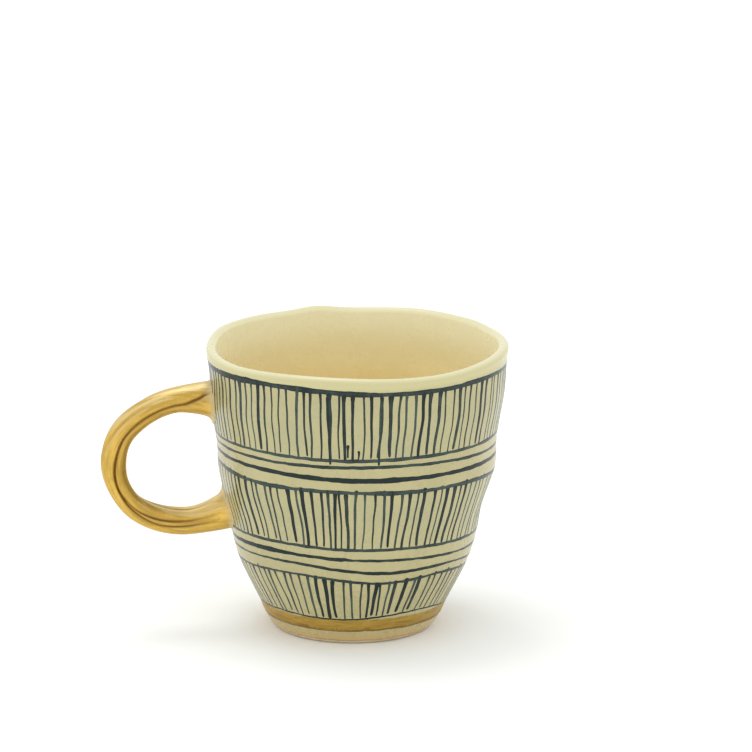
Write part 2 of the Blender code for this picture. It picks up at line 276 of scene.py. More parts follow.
class CupSettings(bpy.types.PropertyGroup):
    """Sizes and colours of the cup."""

    height: FloatProperty(name="Height", description="Height of the even cup, before the rim's waves",
                          default=86.6 * MM, min=0.01, unit="LENGTH")
    lip: FloatProperty(name="Lip thickness", description="Thickness of the wall at the lip",
                       default=3.1 * MM, min=0.001, unit="LENGTH")
    floor: FloatProperty(name="Floor thickness", description="Thickness of the clay under the cup",
                         default=4.3 * MM, min=0.001, unit="LENGTH")
    lean: FloatProperty(name="Lean", description="How far the rim sits to one side of the foot",
                        default=1.5 * MM, unit="LENGTH")
    ripple: FloatProperty(name="Ripple", description="Depth of the finger marks in the clay",
                          default=0.13 * MM, min=0.0, unit="LENGTH")
    columns: IntProperty(name="Columns", description="Columns of faces round the cup", default=256, min=32)
    glaze: FloatVectorProperty(name="Glaze", description="Colour of the cream glaze outside",
                               default=(0.452, 0.410, 0.208), min=0.0, max=1.0, subtype="COLOR")
    # Painted light: the outside glaze, brighter and warmer for the light falling into the cup.
    glaze_inside_painted_light: FloatVectorProperty(name="Inside", description="Colour of the glaze inside the cup",
                                      default=(0.78, 0.625, 0.265), min=0.0, max=1.0, subtype="COLOR")
    glaze_lip: FloatVectorProperty(name="Lip", description="Colour of the paler glaze round the lip",
                                   default=(0.63, 0.60, 0.365), min=0.0, max=1.0, subtype="COLOR")
    clay: FloatVectorProperty(name="Clay", description="Colour of the bare clay under the foot",
                              default=(0.62, 0.50, 0.32), min=0.0, max=1.0, subtype="COLOR")


class HandleSettings(bpy.types.PropertyGroup):
    """Sizes and colours of the looped handle."""

    radius: FloatProperty(name="Radius", description="Radius of the twisted coils together",
                          default=4.05 * MM, min=0.001, unit="LENGTH")
    upper_flare: FloatProperty(name="Upper flare", description="Radius of the upper joint at the wall",
                               default=5.3 * MM, min=0.001, unit="LENGTH")
    lower_flare: FloatProperty(name="Lower flare", description="Radius of the lower joint at the wall",
                               default=5.0 * MM, min=0.001, unit="LENGTH")
    fillet: FloatProperty(name="Fillet", description="Reach of the clay worked into the wall",
                          default=1.8 * MM, min=0.0, unit="LENGTH")
    bare: FloatProperty(name="Bare reach", description="How far from the wall the gold starts",
                        default=1.0 * MM, min=0.0, unit="LENGTH")
    gold: FloatVectorProperty(name="Gold", description="Colour of the gold lustre",
                              default=(0.67, 0.435, 0.092), min=0.0, max=1.0, subtype="COLOR")
    # Used for the painted shade in the handle's creases and under it, and for the gold band's brown streaks.
    shade_and_streak_gold: FloatVectorProperty(name="Deep gold", description="Colour of the gold in its hollows",
                                   default=(0.26, 0.135, 0.022), min=0.0, max=1.0, subtype="COLOR")
    # Painted highlight: the pale gold laid on the handle's upward faces.
    highlight_gold: FloatVectorProperty(name="Pale gold", description="Colour of the gold where it is rubbed",
                                   default=(0.69, 0.59, 0.33), min=0.0, max=1.0, subtype="COLOR")


class PaintSettings(bpy.types.PropertyGroup):
    """Sizes and colours of the painted pattern and the gold band."""

    stroke_width: FloatProperty(name="Stroke width", description="Width of a usual stroke",
                                default=0.74 * MM, min=0.0, unit="LENGTH")
    thick_share: FloatProperty(name="Thick strokes", description="Share of strokes that are laid on thickly",
                               default=0.32, min=0.0, max=1.0, subtype="FACTOR")
    film: FloatProperty(name="Film", description="Thickness of the paint on the glaze",
                        default=0.03 * MM, min=0.0, unit="LENGTH")
    dark_ink: FloatVectorProperty(name="Dark ink", description="Colour of the ink where it is thick",
                                  default=(0.012, 0.022, 0.021), min=0.0, max=1.0, subtype="COLOR")
    thin_ink: FloatVectorProperty(name="Thin ink", description="Colour of the ink where it is thin",
                                  default=(0.060, 0.090, 0.076), min=0.0, max=1.0, subtype="COLOR")
    band_height: FloatProperty(name="Band height", description="Height of the middle of the gold band",
                               default=6.3 * MM, min=0.0, unit="LENGTH")
    band_width: FloatProperty(name="Band width", description="Width of the gold band",
                              default=4.0 * MM, min=0.0, unit="LENGTH")
    seed: IntProperty(name="Seed", description="Seed of the brush's unevenness", default=4, min=0)


class StageSettings(bpy.types.PropertyGroup):
    """Floor, light and camera."""

    floor_size: FloatProperty(name="Floor size", description="Length of the floor's side",
                              default=6.0, min=1.0, unit="LENGTH")
    floor_colour: FloatVectorProperty(name="Floor", description="Colour of the floor",
                                      default=(0.965, 0.98, 0.972), min=0.0, max=1.0, subtype="COLOR")
    daylight: FloatProperty(name="Daylight", description="Strength of the even light all round",
                            default=1.10, min=0.0)
    softbox: FloatProperty(name="Softbox", description="Power of the light overhead, in watts",
                           default=2.0, min=0.0)
    azimuth: FloatProperty(name="Azimuth", description="Angle of the camera round the mug",
                           default=math.radians(-6.0), subtype="ANGLE")
    elevation: FloatProperty(name="Elevation", description="Angle of the camera above the table",
                             default=math.radians(14.8), subtype="ANGLE")
    distance: FloatProperty(name="Distance", description="Distance from the camera to the mug",
                            default=2.0, min=0.1, unit="LENGTH")
    lens: FloatProperty(name="Lens", description="Focal length in millimetres", default=320.0, min=10.0)


# ---------------------------------------------------------------- shape of the cup

def along(points, position):
    """Read a smooth curve through (position, value) points at one position."""
    last = len(points) - 2
    index = 0
    while index < last and position > points[index + 1][0]:
        index += 1
    start, end = points[index], points[index + 1]
    before = points[max(index - 1, 0)]
    after = points[min(index + 2, len(points) - 1)]
    span = end[0] - start[0]
    share = min(max((position - start[0]) / span, 0.0), 1.0)
    slope_start = (end[1] - before[1]) / (end[0] - before[0]) * span
    slope_end = (after[1] - start[1]) / (after[0] - start[0]) * span
    square, cube = share ** 2, share ** 3
    return ((2 * cube - 3 * square + 1) * start[1] + (cube - 2 * square + share) * slope_start
            + (3 * square - 2 * cube) * end[1] + (cube - square) * slope_end)


def outer_radius(height):
    """Radius of the even cup's outside at a height."""
    return along(OUTER_OUTLINE, height)


def inner_radius(height):
    """Radius of the even cup's inside at a height."""
    return outer_radius(height) - along(WALL_THICKNESS, height)


def waves(rows, angle):
    """Sum of a table's waves at an angle round the cup."""
    return sum(size * math.cos(count * (angle - crest)) for count, size, crest in rows)


def rim_lift(angle):
    """How far the rim was lifted at an angle round the cup."""
    lift = waves(RIM_WAVES, angle)
    for lift_angle, size, half_width in RIM_LIFTS:
        across = math.remainder(angle - lift_angle, math.tau) / half_width
        lift += size * math.exp(-across ** 2)
    return lift


def thumb_depth(angle, height, radius):
    """How far the thumb presses push the wall in at one place."""
    depth = 0.0
    for press_angle, press_height, press_depth, half_width, half_height in THUMB_PRESSES:
        across = math.remainder(angle - press_angle, math.tau) * radius / half_width
        up = (height - press_height) / half_height
        depth += press_depth * math.exp(-across ** 2 - up ** 2)
    return depth


def press_by_hand(cup, radius, angle, height):
    """Where hand pressing leaves a point of the evenly turned cup."""
    share = height / cup.height
    side = min(radius / FULL_PRESS_RADIUS, 1.0)
    pressed = radius + side * share * waves(OVAL_WAVES, angle)
    pressed -= side * thumb_depth(angle, height, radius)
    lifted = height + max(share, 0.0) ** 3 * rim_lift(angle)
    return Vector((
        pressed * math.cos(angle) + cup.lean * share,
        pressed * math.sin(angle),
        lifted,
    ))


def wall_gap(cup, point):
    """Distance of a point outside the cup's wall; negative inside it."""
    share = point.z / cup.height
    x = point.x - cup.lean * share
    angle = math.atan2(point.y, x)
    radius = outer_radius(point.z)
    surface = radius + share * waves(OVAL_WAVES, angle) - thumb_depth(angle, point.z, radius)
    return math.hypot(x, point.y) - surface


def spread(low, high, count):
    """Evenly spaced values from low to high, both included."""
    return [low + (high - low) * index / (count - 1) for index in range(count)]


# ---------------------------------------------------------------- meshes

def turned_skin(name, rows, columns, place):
    """Closed skin from rows of (radius, height, chart height), first and last on the axis.

    The map laid on it has the angle across and the chart height up.
    """
    points, faces, chart = [place(0.0, 0.0, rows[0][1])], [], []
    rings = rows[1:-1]
    for radius, height, _ in rings:
        for column in range(columns):
            points.append(place(radius, math.tau * column / columns, height))
    points.append(place(0.0, 0.0, rows[-1][1]))
    top = len(points) - 1
    for column in range(columns):
        after = (column + 1) % columns
        left, right = column / columns, (column + 1) / columns
        middle = (left + right) / 2
        faces.append((0, 1 + after, 1 + column))
        chart.append(((middle, rows[0][2]), (right, rings[0][2]), (left, rings[0][2])))
        for ring in range(len(rings) - 1):
            low, high = 1 + ring * columns, 1 + (ring + 1) * columns
            down, up = rings[ring][2], rings[ring + 1][2]
            faces.append((low + column, low + after, high + after, high + column))
            chart.append(((left, down), (right, down), (right, up), (left, up)))
        high = top - columns
        faces.append((high + column, high + after, top))
        chart.append(((left, rings[-1][2]), (right, rings[-1][2]), (middle, rows[-1][2])))
    mesh = bpy.data.meshes.new(name)
    mesh.from_pydata(points, [], faces)
    layer = mesh.uv_layers.new(name="cup_map")
    layer.data.foreach_set("uv", [value for corners in chart for corner in corners for value in corner])
    return mesh


def store(mesh, name, values):
    """Keep one number for each vertex of a mesh under a name."""
    attribute = mesh.attributes.new(name, "FLOAT", "POINT")
    attribute.data.foreach_set("value", values)


def point_outwards(mesh):
    """Turn every face of a closed mesh outwards."""
    work = bmesh.new()
    work.from_mesh(mesh)
    bmesh.ops.recalc_face_normals(work, faces=work.faces[:])
    if work.calc_volume(signed=True) < 0.0:
        bmesh.ops.reverse_faces(work, faces=work.faces[:])
    work.to_mesh(mesh)
    work.free()


def finish_skin(mesh, material_name):
    """Turn a skin outwards, shade it smooth and give it its material."""
    point_outwards(mesh)
    mesh.shade_smooth()
    mesh.materials.append(made(bpy.data.materials, material_name))


def add_piece(name, mesh, nodes=()):
    """Put a finished mesh in the scene as a piece that rides on the mug."""
    mesh.name = name
    piece = bpy.data.objects.new(name, mesh)
    bpy.context.scene.collection.objects.link(piece)
    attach(piece, BODY)
    if nodes:
        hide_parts(*nodes)
    return piece


def cup_rows(cup):
    """Rows of the glazed skin, from under the floor, up the outside, over the lip and down the inside."""
    rows = list(GLAZE_EDGE_ROWS)
    outside_rows, lip_rows, inside_rows, fillet_rows, floor_rows = 148, 19, 98, 13, 8
    round_radius = cup.lip / 2
    centre_height = cup.height - round_radius
    centre_radius = outer_radius(centre_height) - round_radius
    lip_top = centre_height / cup.height
    for height in spread(GLAZE_START, centre_height, outside_rows)[:-1]:
        rows.append((outer_radius(height), height, height / cup.height))
    for share in spread(0.0, 1.0, lip_rows):
        turn = math.pi * share
        rows.append((
            centre_radius + round_radius * math.cos(turn),
            centre_height + round_radius * math.sin(turn),
            lip_top + (2.0 - 2.0 * lip_top) * share,
        ))
    fillet_height, fillet_reach, fillet_slope = 5.2 * MM, 6.4 * MM, 1.6 * MM
    floor_hollow = 0.35 * MM
    fillet_top = cup.floor + fillet_height
    for height in spread(centre_height, fillet_top, inside_rows)[1:]:
        rows.append((inner_radius(height), height, 2.0 - height / cup.height))
    start = inner_radius(fillet_top)
    for share in spread(0.0, 1.0, fillet_rows)[1:]:
        turn = share * math.pi / 2
        rows.append((
            start - fillet_reach * (1.0 - math.cos(turn)) - fillet_slope * share,
            cup.floor + fillet_height * (1.0 - math.sin(turn)),
            2.0 + 0.06 * share,
        ))
    edge = rows[-1][0]
    for share in spread(1.0, 0.0, floor_rows)[1:]:
        rows.append((edge * share, cup.floor - floor_hollow * (1.0 - share ** 2), 2.1 + 0.2 * (1.0 - share)))
    return rows


def ripple_at(cup, radius, angle, height):
    """Depth of the finger marks at one place of the even cup."""
    broad_size, fine_size, fine_share, flattening = 13.0 * MM, 5.0 * MM, 0.35, 1.3
    place = Vector((radius * math.cos(angle), radius * math.sin(angle), height * flattening))
    broad = noise.noise(place / broad_size)
    fine = noise.noise(place / fine_size + Vector((7.0, 3.0, 1.0)))
    return cup.ripple * (broad + fine_share * fine)


def build_cup(cup):
    """Glazed skin of the cup, with the finger marks pressed in."""
    rows = cup_rows(cup)
    fade_reach = 6.0 * MM

    def place(radius, angle, height):
        even = press_by_hand(cup, radius, angle, height)
        fade = min(max((height - GLAZE_START) / fade_reach, 0.0), 1.0)
        mark = fade * ripple_at(cup, radius, angle, height)
        return even + Vector((math.cos(angle), math.sin(angle), 0.0)) * mark

    mesh = turned_skin("glazed_cup", rows, cup.columns, place)
    lip_row = (cup.height - cup.lip / 2) / cup.height
    inside = [0.0]
    for _, _, level in rows[1:-1]:
        inside += [min(max((level - lip_row) / (2.0 - 2.0 * lip_row), 0.0), 1.0)] * cup.columns
    inside.append(1.0)
    store(mesh, "inside", inside)
    finish_skin(mesh, "cup_glaze")
    return add_piece("glazed_cup", mesh, ("cup_wall", "inner_seam_coil"))


def build_foot(cup):
    """Bare clay ring and underside that the glaze was wiped from."""
    sand = 0.05 * MM
    sand_size = 3.0 * MM

    def place(radius, angle, height):
        grain = Vector((radius * math.cos(angle), radius * math.sin(angle), height)) / sand_size
        even = press_by_hand(cup, radius, angle, height)
        outward = Vector((math.cos(angle), math.sin(angle), 0.0))
        return even + outward * sand * noise.noise(grain) * min(radius / FULL_PRESS_RADIUS, 1.0)

    mesh = turned_skin("clay_foot", CLAY_FOOT_ROWS, 144, place)
    finish_skin(mesh, "bare_clay")
    return add_piece("clay_foot", mesh, ("base_slab",))


# ---------------------------------------------------------------- handle

def smooth_path(points, samples):
    """Points evenly spaced in parameter along a smooth curve through points."""
    ends = [points[0] * 2 - points[1]] + points + [points[-1] * 2 - points[-2]]
    path = []
    for position in spread(0.0, len(points) - 1.0, samples):
        index = min(int(position), len(points) - 2)
        share = position - index
        before, start, end, after = ends[index:index + 4]
        path.append(0.5 * (
            2 * start + (end - before) * share
            + (2 * before - 5 * start + 4 * end - after) * share ** 2
            + (3 * start - before - 3 * end + after) * share ** 3
        ))
    return path


class HandleLine:
    """Middle line of the handle, read by distance along it."""

    def __init__(self):
        knots = [Vector((-out, 0.0, height)) for out, height in HANDLE_LINE]
        self.points = smooth_path(knots, 1200)
        self.distances = [0.0]
        for start, end in zip(self.points, self.points[1:]):
            self.distances.append(self.distances[-1] + (end - start).length)
        self.length = self.distances[-1]

    def place(self, distance):
        """Place on the line at a distance from its upper end."""
        index = int(np.searchsorted(self.distances, distance)) - 1
        index = min(max(index, 0), len(self.points) - 2)
        step = (distance - self.distances[index]) / (self.distances[index + 1] - self.distances[index])
        return self.points[index].lerp(self.points[index + 1], step)

    def direction(self, distance):
        """Direction of the line at a distance from its upper end."""
        reach = 0.6 * MM
        return (self.place(distance + reach) - self.place(distance - reach)).normalized()

    def distance_at(self, out, from_top):
        """Distance at which the line first passes a place this far from the cup's axis."""
        order = range(len(self.points)) if from_top else reversed(range(len(self.points)))
        for index in order:
            if -self.points[index].x >= out:
                return self.distances[index]
        raise ValueError("the handle never reaches that far out")


def crease_depth(share, angle):
    """Depth of the creases between the coils at one place of the handle, in metres."""
    depth = 0.0
    for off, deep in crease_offsets(share, angle):
        hollow = CREASE_HOLLOW_SHARE * math.exp(-(off / CREASE_HOLLOW_REACH) ** 2)
        depth += deep * (math.exp(-abs(off) / CREASE_LINE_REACH) + hollow)
    return depth


def crease_shade(share, angle):
    """Painted shade of the creases on the gold: a thin dark line, and a soft shade on its inner side."""
    shade_here = 0.0
    for off, deep in crease_offsets(share, angle):
        strength = min(deep / FULL_CREASE, 1.0)
        reach = SHADE_INNER_REACH if off < 0.0 else SHADE_OUTER_REACH
        line = SHADE_LINE_SHARE * math.exp(-(off / SHADE_LINE_REACH) ** 2)
        shade_here = max(shade_here, strength * (line + SOFT_SHADE_SHARE * math.exp(-(off / reach) ** 2)))
    return shade_here


def crease_offsets(share, angle):
    """Angle from each crease at this share of the way down, with the crease's depth in metres."""
    offsets = []
    for rows in HANDLE_CREASES:
        if rows[0][0] <= share <= rows[-1][0]:
            centre = along([(row[0], row[1]) for row in rows], share)
            deep = max(along([(row[0], row[2]) for row in rows], share), 0.0)
            offsets.append((math.remainder(angle - math.radians(centre), math.tau), deep * MM))
    return offsets


def build_handle(cup, handle):
    """Three coils twisted into one loop, each end worked into the wall."""
    line = HandleLine()
    upper = line.distance_at(UPPER_JOINT_OUT, from_top=True)
    lower = line.distance_at(LOWER_JOINT_OUT, from_top=False)
    sides, steps, halvings = 120, 300, 26
    end_crowding, fillet_skew, fillet_rise = 0.10, 0.55, 0.7
    lead, search, sink = 3.0 * MM, 14.0 * MM, 1.6 * MM
    lump_size, lump_depth, mark_length, mark_pitch = 11.0 * MM, 0.14 * MM, 9.0 * MM, 4.5
    sideways = Vector((0.0, 1.0, 0.0))

    def radius_at(distance, angle):
        share = (distance - upper) / (lower - upper)
        into_upper = max(upper + lead - distance, 0.0) / (JOINT_LENGTH + lead)
        into_lower = max(distance - lower + lead, 0.0) / (JOINT_LENGTH + lead)
        flare = (handle.upper_flare - handle.radius) * min(into_upper, 1.4) ** 1.8
        flare += (handle.lower_flare - handle.radius) * min(into_lower, 1.4) ** 1.8
        flare *= 1.0 - 0.10 * math.cos(angle)
        lump = noise.noise(Vector((distance / lump_size, 1.2 * math.cos(angle), 1.2 * math.sin(angle))))
        girth = handle.radius * along(HANDLE_GIRTH, share)
        return girth + flare + lump_depth * lump - crease_depth(share, angle)

    def skin(distance, angle, extra=0.0):
        direction = line.direction(distance)
        outward = sideways.cross(direction)
        offset = outward * math.cos(angle) + sideways * math.sin(angle)
        return line.place(distance) + offset * (radius_at(distance, angle) + extra)

    def wall_meeting(angle, clear, buried):
        for _ in range(halvings):
            middle = (clear + buried) / 2
            if wall_gap(cup, skin(middle, angle)) > 0.0:
                clear = middle
            else:
                buried = middle
        return (clear + buried) / 2

    angles = [math.tau * index / sides for index in range(sides)]
    starts = [wall_meeting(angle, upper, upper - search) for angle in angles]
    ends = [wall_meeting(angle, lower, lower + search) for angle in angles]
    points, from_wall, crease, brush_way = [], [], [], []
    for row in range(steps + 1):
        share = row / steps
        share -= end_crowding * math.sin(math.tau * share) / math.tau * 2.0
        for angle, start, end in zip(angles, starts, ends):
            first, last = start - sink, end + sink
            distance = first + (last - first) * share
            gap = min(distance - start, end - distance)
            fillet = handle.fillet * (1.0 - fillet_skew * math.cos(angle))
            closeness = min(max(1.0 - gap / fillet, 0.0), 1.0)
            around = Vector((3.0 * math.cos(angle), 3.0 * math.sin(angle), share * 9.0))
            ragged = 1.0 + 0.3 * noise.noise(around)
            extra = fillet * fillet_rise * ragged * (1.0 - math.sqrt(1.0 - min(closeness, 0.99) ** 2))
            points.append(skin(distance, angle, extra))
            from_wall.append(gap)
            down = (distance - upper) / (lower - upper)
            crease.append(crease_shade(down, angle))
            turn = angle - COIL_TWIST * down
            brush_way += [distance / mark_length, mark_pitch * math.cos(turn), mark_pitch * math.sin(turn)]
    faces = []
    for row in range(steps):
        for side in range(sides):
            low, high, after = row * sides, (row + 1) * sides, (side + 1) % sides
            faces.append((low + side, low + after, high + after, high + side))
    faces.append(tuple(range(sides)))
    faces.append(tuple(steps * sides + side for side in range(sides)))
    mesh = bpy.data.meshes.new("gold_handle")
    mesh.from_pydata(points, [], faces)
    store(mesh, "from_wall", from_wall)
    # Painted shade of the creases, read by the handle's material
    store(mesh, "crease", crease)
    mesh.attributes.new("brush_way", "FLOAT_VECTOR", "POINT").data.foreach_set("vector", brush_way)
    finish_skin(mesh, "handle_lustre")
    nodes = ("handle_coil_1", "handle_coil_2", "handle_coil_3", "upper_handle_joint", "lower_handle_joint")
    return add_piece("gold_handle", mesh, nodes)


# ---------------------------------------------------------------- node trees

class Flow:
    """A value in a node tree; arithmetic on it adds Math nodes."""

    def __init__(self, tree, socket):
        self.tree = tree
        self.socket = socket

    def math(self, operation, *others):
        """Feed this value and others through one Math node."""
        node = self.tree.nodes.new("ShaderNodeMath")
        node.operation = operation
        for socket, value in zip(node.inputs, (self, *others)):
            feed(self.tree, socket, value)
        return Flow(self.tree, node.outputs[0])

    def __add__(self, other):
        return self.math("ADD", other)

    def __sub__(self, other):
        return self.math("SUBTRACT", other)

    def __rsub__(self, other):
        return self.math("MULTIPLY_ADD", -1.0, other)

    def __mul__(self, other):
        return self.math("MULTIPLY", other)

    def __truediv__(self, other):
        return self.math("DIVIDE", other)

    def __abs__(self):
        return self.math("ABSOLUTE")

    def clamped(self):
        """Keep this value between 0 and 1."""
        return self.math("MAXIMUM", 0.0).math("MINIMUM", 1.0)

    def ramp(self, low, high):
        """Smooth step from 0 at low to 1 at high."""
        node = self.tree.nodes.new("ShaderNodeMapRange")
        node.interpolation_type = "SMOOTHSTEP"
        feed(self.tree, node.inputs["Value"], self)
        feed(self.tree, node.inputs["From Min"], low)
        feed(self.tree, node.inputs["From Max"], high)
        return Flow(self.tree, node.outputs[0])


def feed(tree, socket, value):
    """Link a value into a socket, or set it there."""
    if isinstance(value, Flow):
        tree.links.new(value.socket, socket)
    elif value is not None:
        socket.default_value = value


def add_node(tree, kind, *values, **settings):
    """Add a node, set its options and feed its inputs in order."""
    node = tree.nodes.new(kind)
    for name, value in settings.items():
        setattr(node, name, value)
    for socket, value in zip([socket for socket in node.inputs if socket.enabled], values):
        feed(tree, socket, value)
    return node


def flow(tree, kind, *values, **settings):
    """Add a node and return its first output."""
    node = add_node(tree, kind, *values, **settings)
    return Flow(tree, next(socket for socket in node.outputs if socket.enabled))


SOCKET_KINDS = {
    "number": ("NodeSocketFloat", "NONE"),
    "length": ("NodeSocketFloat", "DISTANCE"),
    "angle": ("NodeSocketFloat", "ANGLE"),
    "share": ("NodeSocketFloat", "FACTOR"),
    "count": ("NodeSocketInt", "NONE"),
    "vector": ("NodeSocketVector", "NONE"),
    "geometry": ("NodeSocketGeometry", "NONE"),
    "object": ("NodeSocketObject", "NONE"),
    "material": ("NodeSocketMaterial", "NONE"),
}


def new_tree(name, kind, inputs, outputs):
    """New node tree with named sockets; returns it, its inputs by name and its output node."""
    tree = bpy.data.node_groups.new(name, kind)
    for in_out, sockets in (("INPUT", inputs), ("OUTPUT", outputs)):
        for socket_name, (socket_kind, default) in sockets.items():
            socket_type, subtype = SOCKET_KINDS[socket_kind]
            socket = tree.interface.new_socket(name=socket_name, in_out=in_out, socket_type=socket_type)
            if subtype != "NONE":
                socket.subtype = subtype
            if default is not None:
                socket.default_value = default
    entry = tree.nodes.new("NodeGroupInput")
    leave = tree.nodes.new("NodeGroupOutput")
    given = {socket.name: Flow(tree, socket) for socket in entry.outputs if socket.name}
    return tree, given, leave


def use_group(tree, group, values):
    """Place a node group in a tree with its own values; returns its outputs by name."""
    kind = "GeometryNodeGroup" if tree.bl_idname == "GeometryNodeTree" else "ShaderNodeGroup"
    node = tree.nodes.new(kind)
    node.node_tree = group
    for name, value in values.items():
        feed(tree, node.inputs[name], value)
    return {socket.name: Flow(tree, socket) for socket in node.outputs}


def lay_out(tree):
    """Set the nodes out in columns, each to the right of what feeds it."""
    depth = {}
    for _ in range(len(tree.nodes)):
        changed = False
        for link in tree.links:
            deeper = depth.get(link.from_node.name, 0) + 1
            if deeper > depth.get(link.to_node.name, 0):
                depth[link.to_node.name] = deeper
                changed = True
        if not changed:
            break
    rows = {}
    for node in tree.nodes:
        column = depth.get(node.name, 0)
        rows[column] = rows.get(column, 0) + 1
        node.location = (column * 220.0, -rows[column] * 190.0)


def wave_inputs(label):
    """Sockets that describe one hand-drawn line round the cup."""
    inputs = {f"{label} Height": ("length", 50.0 * MM)}
    for number in range(1, WAVE_COUNT + 1):
        inputs[f"{label} Wave {number}"] = ("length", 0.0)
        inputs[f"{label} Crest {number}"] = ("angle", 0.0)
    return inputs


def wave_group():
    """Height of a hand-drawn line at an angle: a level and slow waves round the cup."""
    tree, given, leave = new_tree("hand_drawn_height", "GeometryNodeTree",
                                  {"Angle": ("angle", 0.0), **wave_inputs("Line")},
                                  {"Height": ("length", None)})
    height = given["Line Height"]
    for number in range(1, WAVE_COUNT + 1):
        turn = (given["Angle"] - given[f"Line Crest {number}"]) * float(number)
        height = height + turn.math("COSINE") * given[f"Line Wave {number}"]
    feed(tree, leave.inputs["Height"], height)
    lay_out(tree)
    return tree


def drawn_height(tree, group, given, label, angle):
    """Height of the line a label's inputs describe, at an angle."""
    values = {"Angle": angle, "Line Height": given[f"{label} Height"]}
    for number in range(1, WAVE_COUNT + 1):
        values[f"Line Wave {number}"] = given[f"{label} Wave {number}"]
        values[f"Line Crest {number}"] = given[f"{label} Crest {number}"]
    return use_group(tree, group, values)["Height"]


def surface_group():
    """Place on the cup's glaze at an angle and height, read from the cup's own map."""
    tree, given, leave = new_tree("place_on_cup", "GeometryNodeTree", {
        "Cup": ("geometry", None), "Cup Height": ("length", 86.6 * MM),
        "Angle": ("angle", 0.0), "Height": ("length", 0.0), "Lift": ("length", 0.0),
    }, {"Position": ("vector", None), "Radius": ("length", None)})
    chart = flow(tree, "GeometryNodeInputNamedAttribute", "cup_map", data_type="FLOAT_VECTOR")
    turns = (given["Angle"] / math.tau).math("FRACT")
    spot = flow(tree, "ShaderNodeCombineXYZ", turns, given["Height"] / given["Cup Height"])
    centre = flow(tree, "GeometryNodeInputPosition")
    normal = flow(tree, "GeometryNodeInputNormal")
    surface, facing = (
        flow(tree, "GeometryNodeSampleUVSurface", given["Cup"], value, chart, spot, data_type="FLOAT_VECTOR")
        for value in (centre, normal)
    )
    outward = flow(tree, "ShaderNodeVectorMath", facing, operation="NORMALIZE")
    lifted = add_node(tree, "ShaderNodeVectorMath", outward, operation="SCALE")
    feed(tree, lifted.inputs["Scale"], given["Lift"])
    place = flow(tree, "ShaderNodeVectorMath", surface, Flow(tree, lifted.outputs[0]), operation="ADD")
    apart = add_node(tree, "ShaderNodeSeparateXYZ", surface)
    across, deep = Flow(tree, apart.outputs[0]), Flow(tree, apart.outputs[1])
    feed(tree, leave.inputs["Position"], place)
    feed(tree, leave.inputs["Radius"], (across * across + deep * deep).math("SQRT"))
    lay_out(tree)
    return tree


def unevenness(tree, *parts, scale=1.0, detail=1.0):
    """Smooth noise from -1 to 1 that changes with up to three values."""
    spot = flow(tree, "ShaderNodeCombineXYZ", *parts)
    value = flow(tree, "ShaderNodeTexNoise", spot, scale, detail, noise_dimensions="3D")
    return value * 2.0 - 1.0


def finish_paint(tree, geometry, material, leave):
    """End a paint tree: smooth faces with crisp sides, made real and given its material."""
    turned = flow(tree, "GeometryNodeFlipFaces", geometry)
    smooth = flow(tree, "GeometryNodeSetShadeSmooth", turned)
    corner = flow(tree, "GeometryNodeInputMeshEdgeAngle").math("GREATER_THAN", math.radians(70))
    crisp = flow(tree, "GeometryNodeSetShadeSmooth", smooth, corner, False, domain="EDGE")
    real = flow(tree, "GeometryNodeRealizeInstances", crisp)
    painted = flow(tree, "GeometryNodeSetMaterial", real)
    feed(tree, painted.socket.node.inputs["Material"], material)
    feed(tree, leave.inputs["Geometry"], painted)
    lay_out(tree)


def spot_on_cup(tree, surface, given, angle, height, lift):
    """Place and radius on the cup that the paint goes on."""
    source = add_node(tree, "GeometryNodeObjectInfo")
    feed(tree, source.inputs["Object"], given["Cup"])
    return use_group(tree, surface, {
        "Cup": Flow(tree, source.outputs["Geometry"]), "Cup Height": given["Cup Height"],
        "Angle": angle, "Height": height, "Lift": lift,
    })


def keep(tree, geometry, name, value):
    """Store a named value on every point of a geometry."""
    return flow(tree, "GeometryNodeStoreNamedAttribute", geometry, True, name, value,
                data_type="FLOAT", domain="POINT")


def read(tree, name):
    """Read a named value back."""
    return flow(tree, "GeometryNodeInputNamedAttribute", name, data_type="FLOAT")


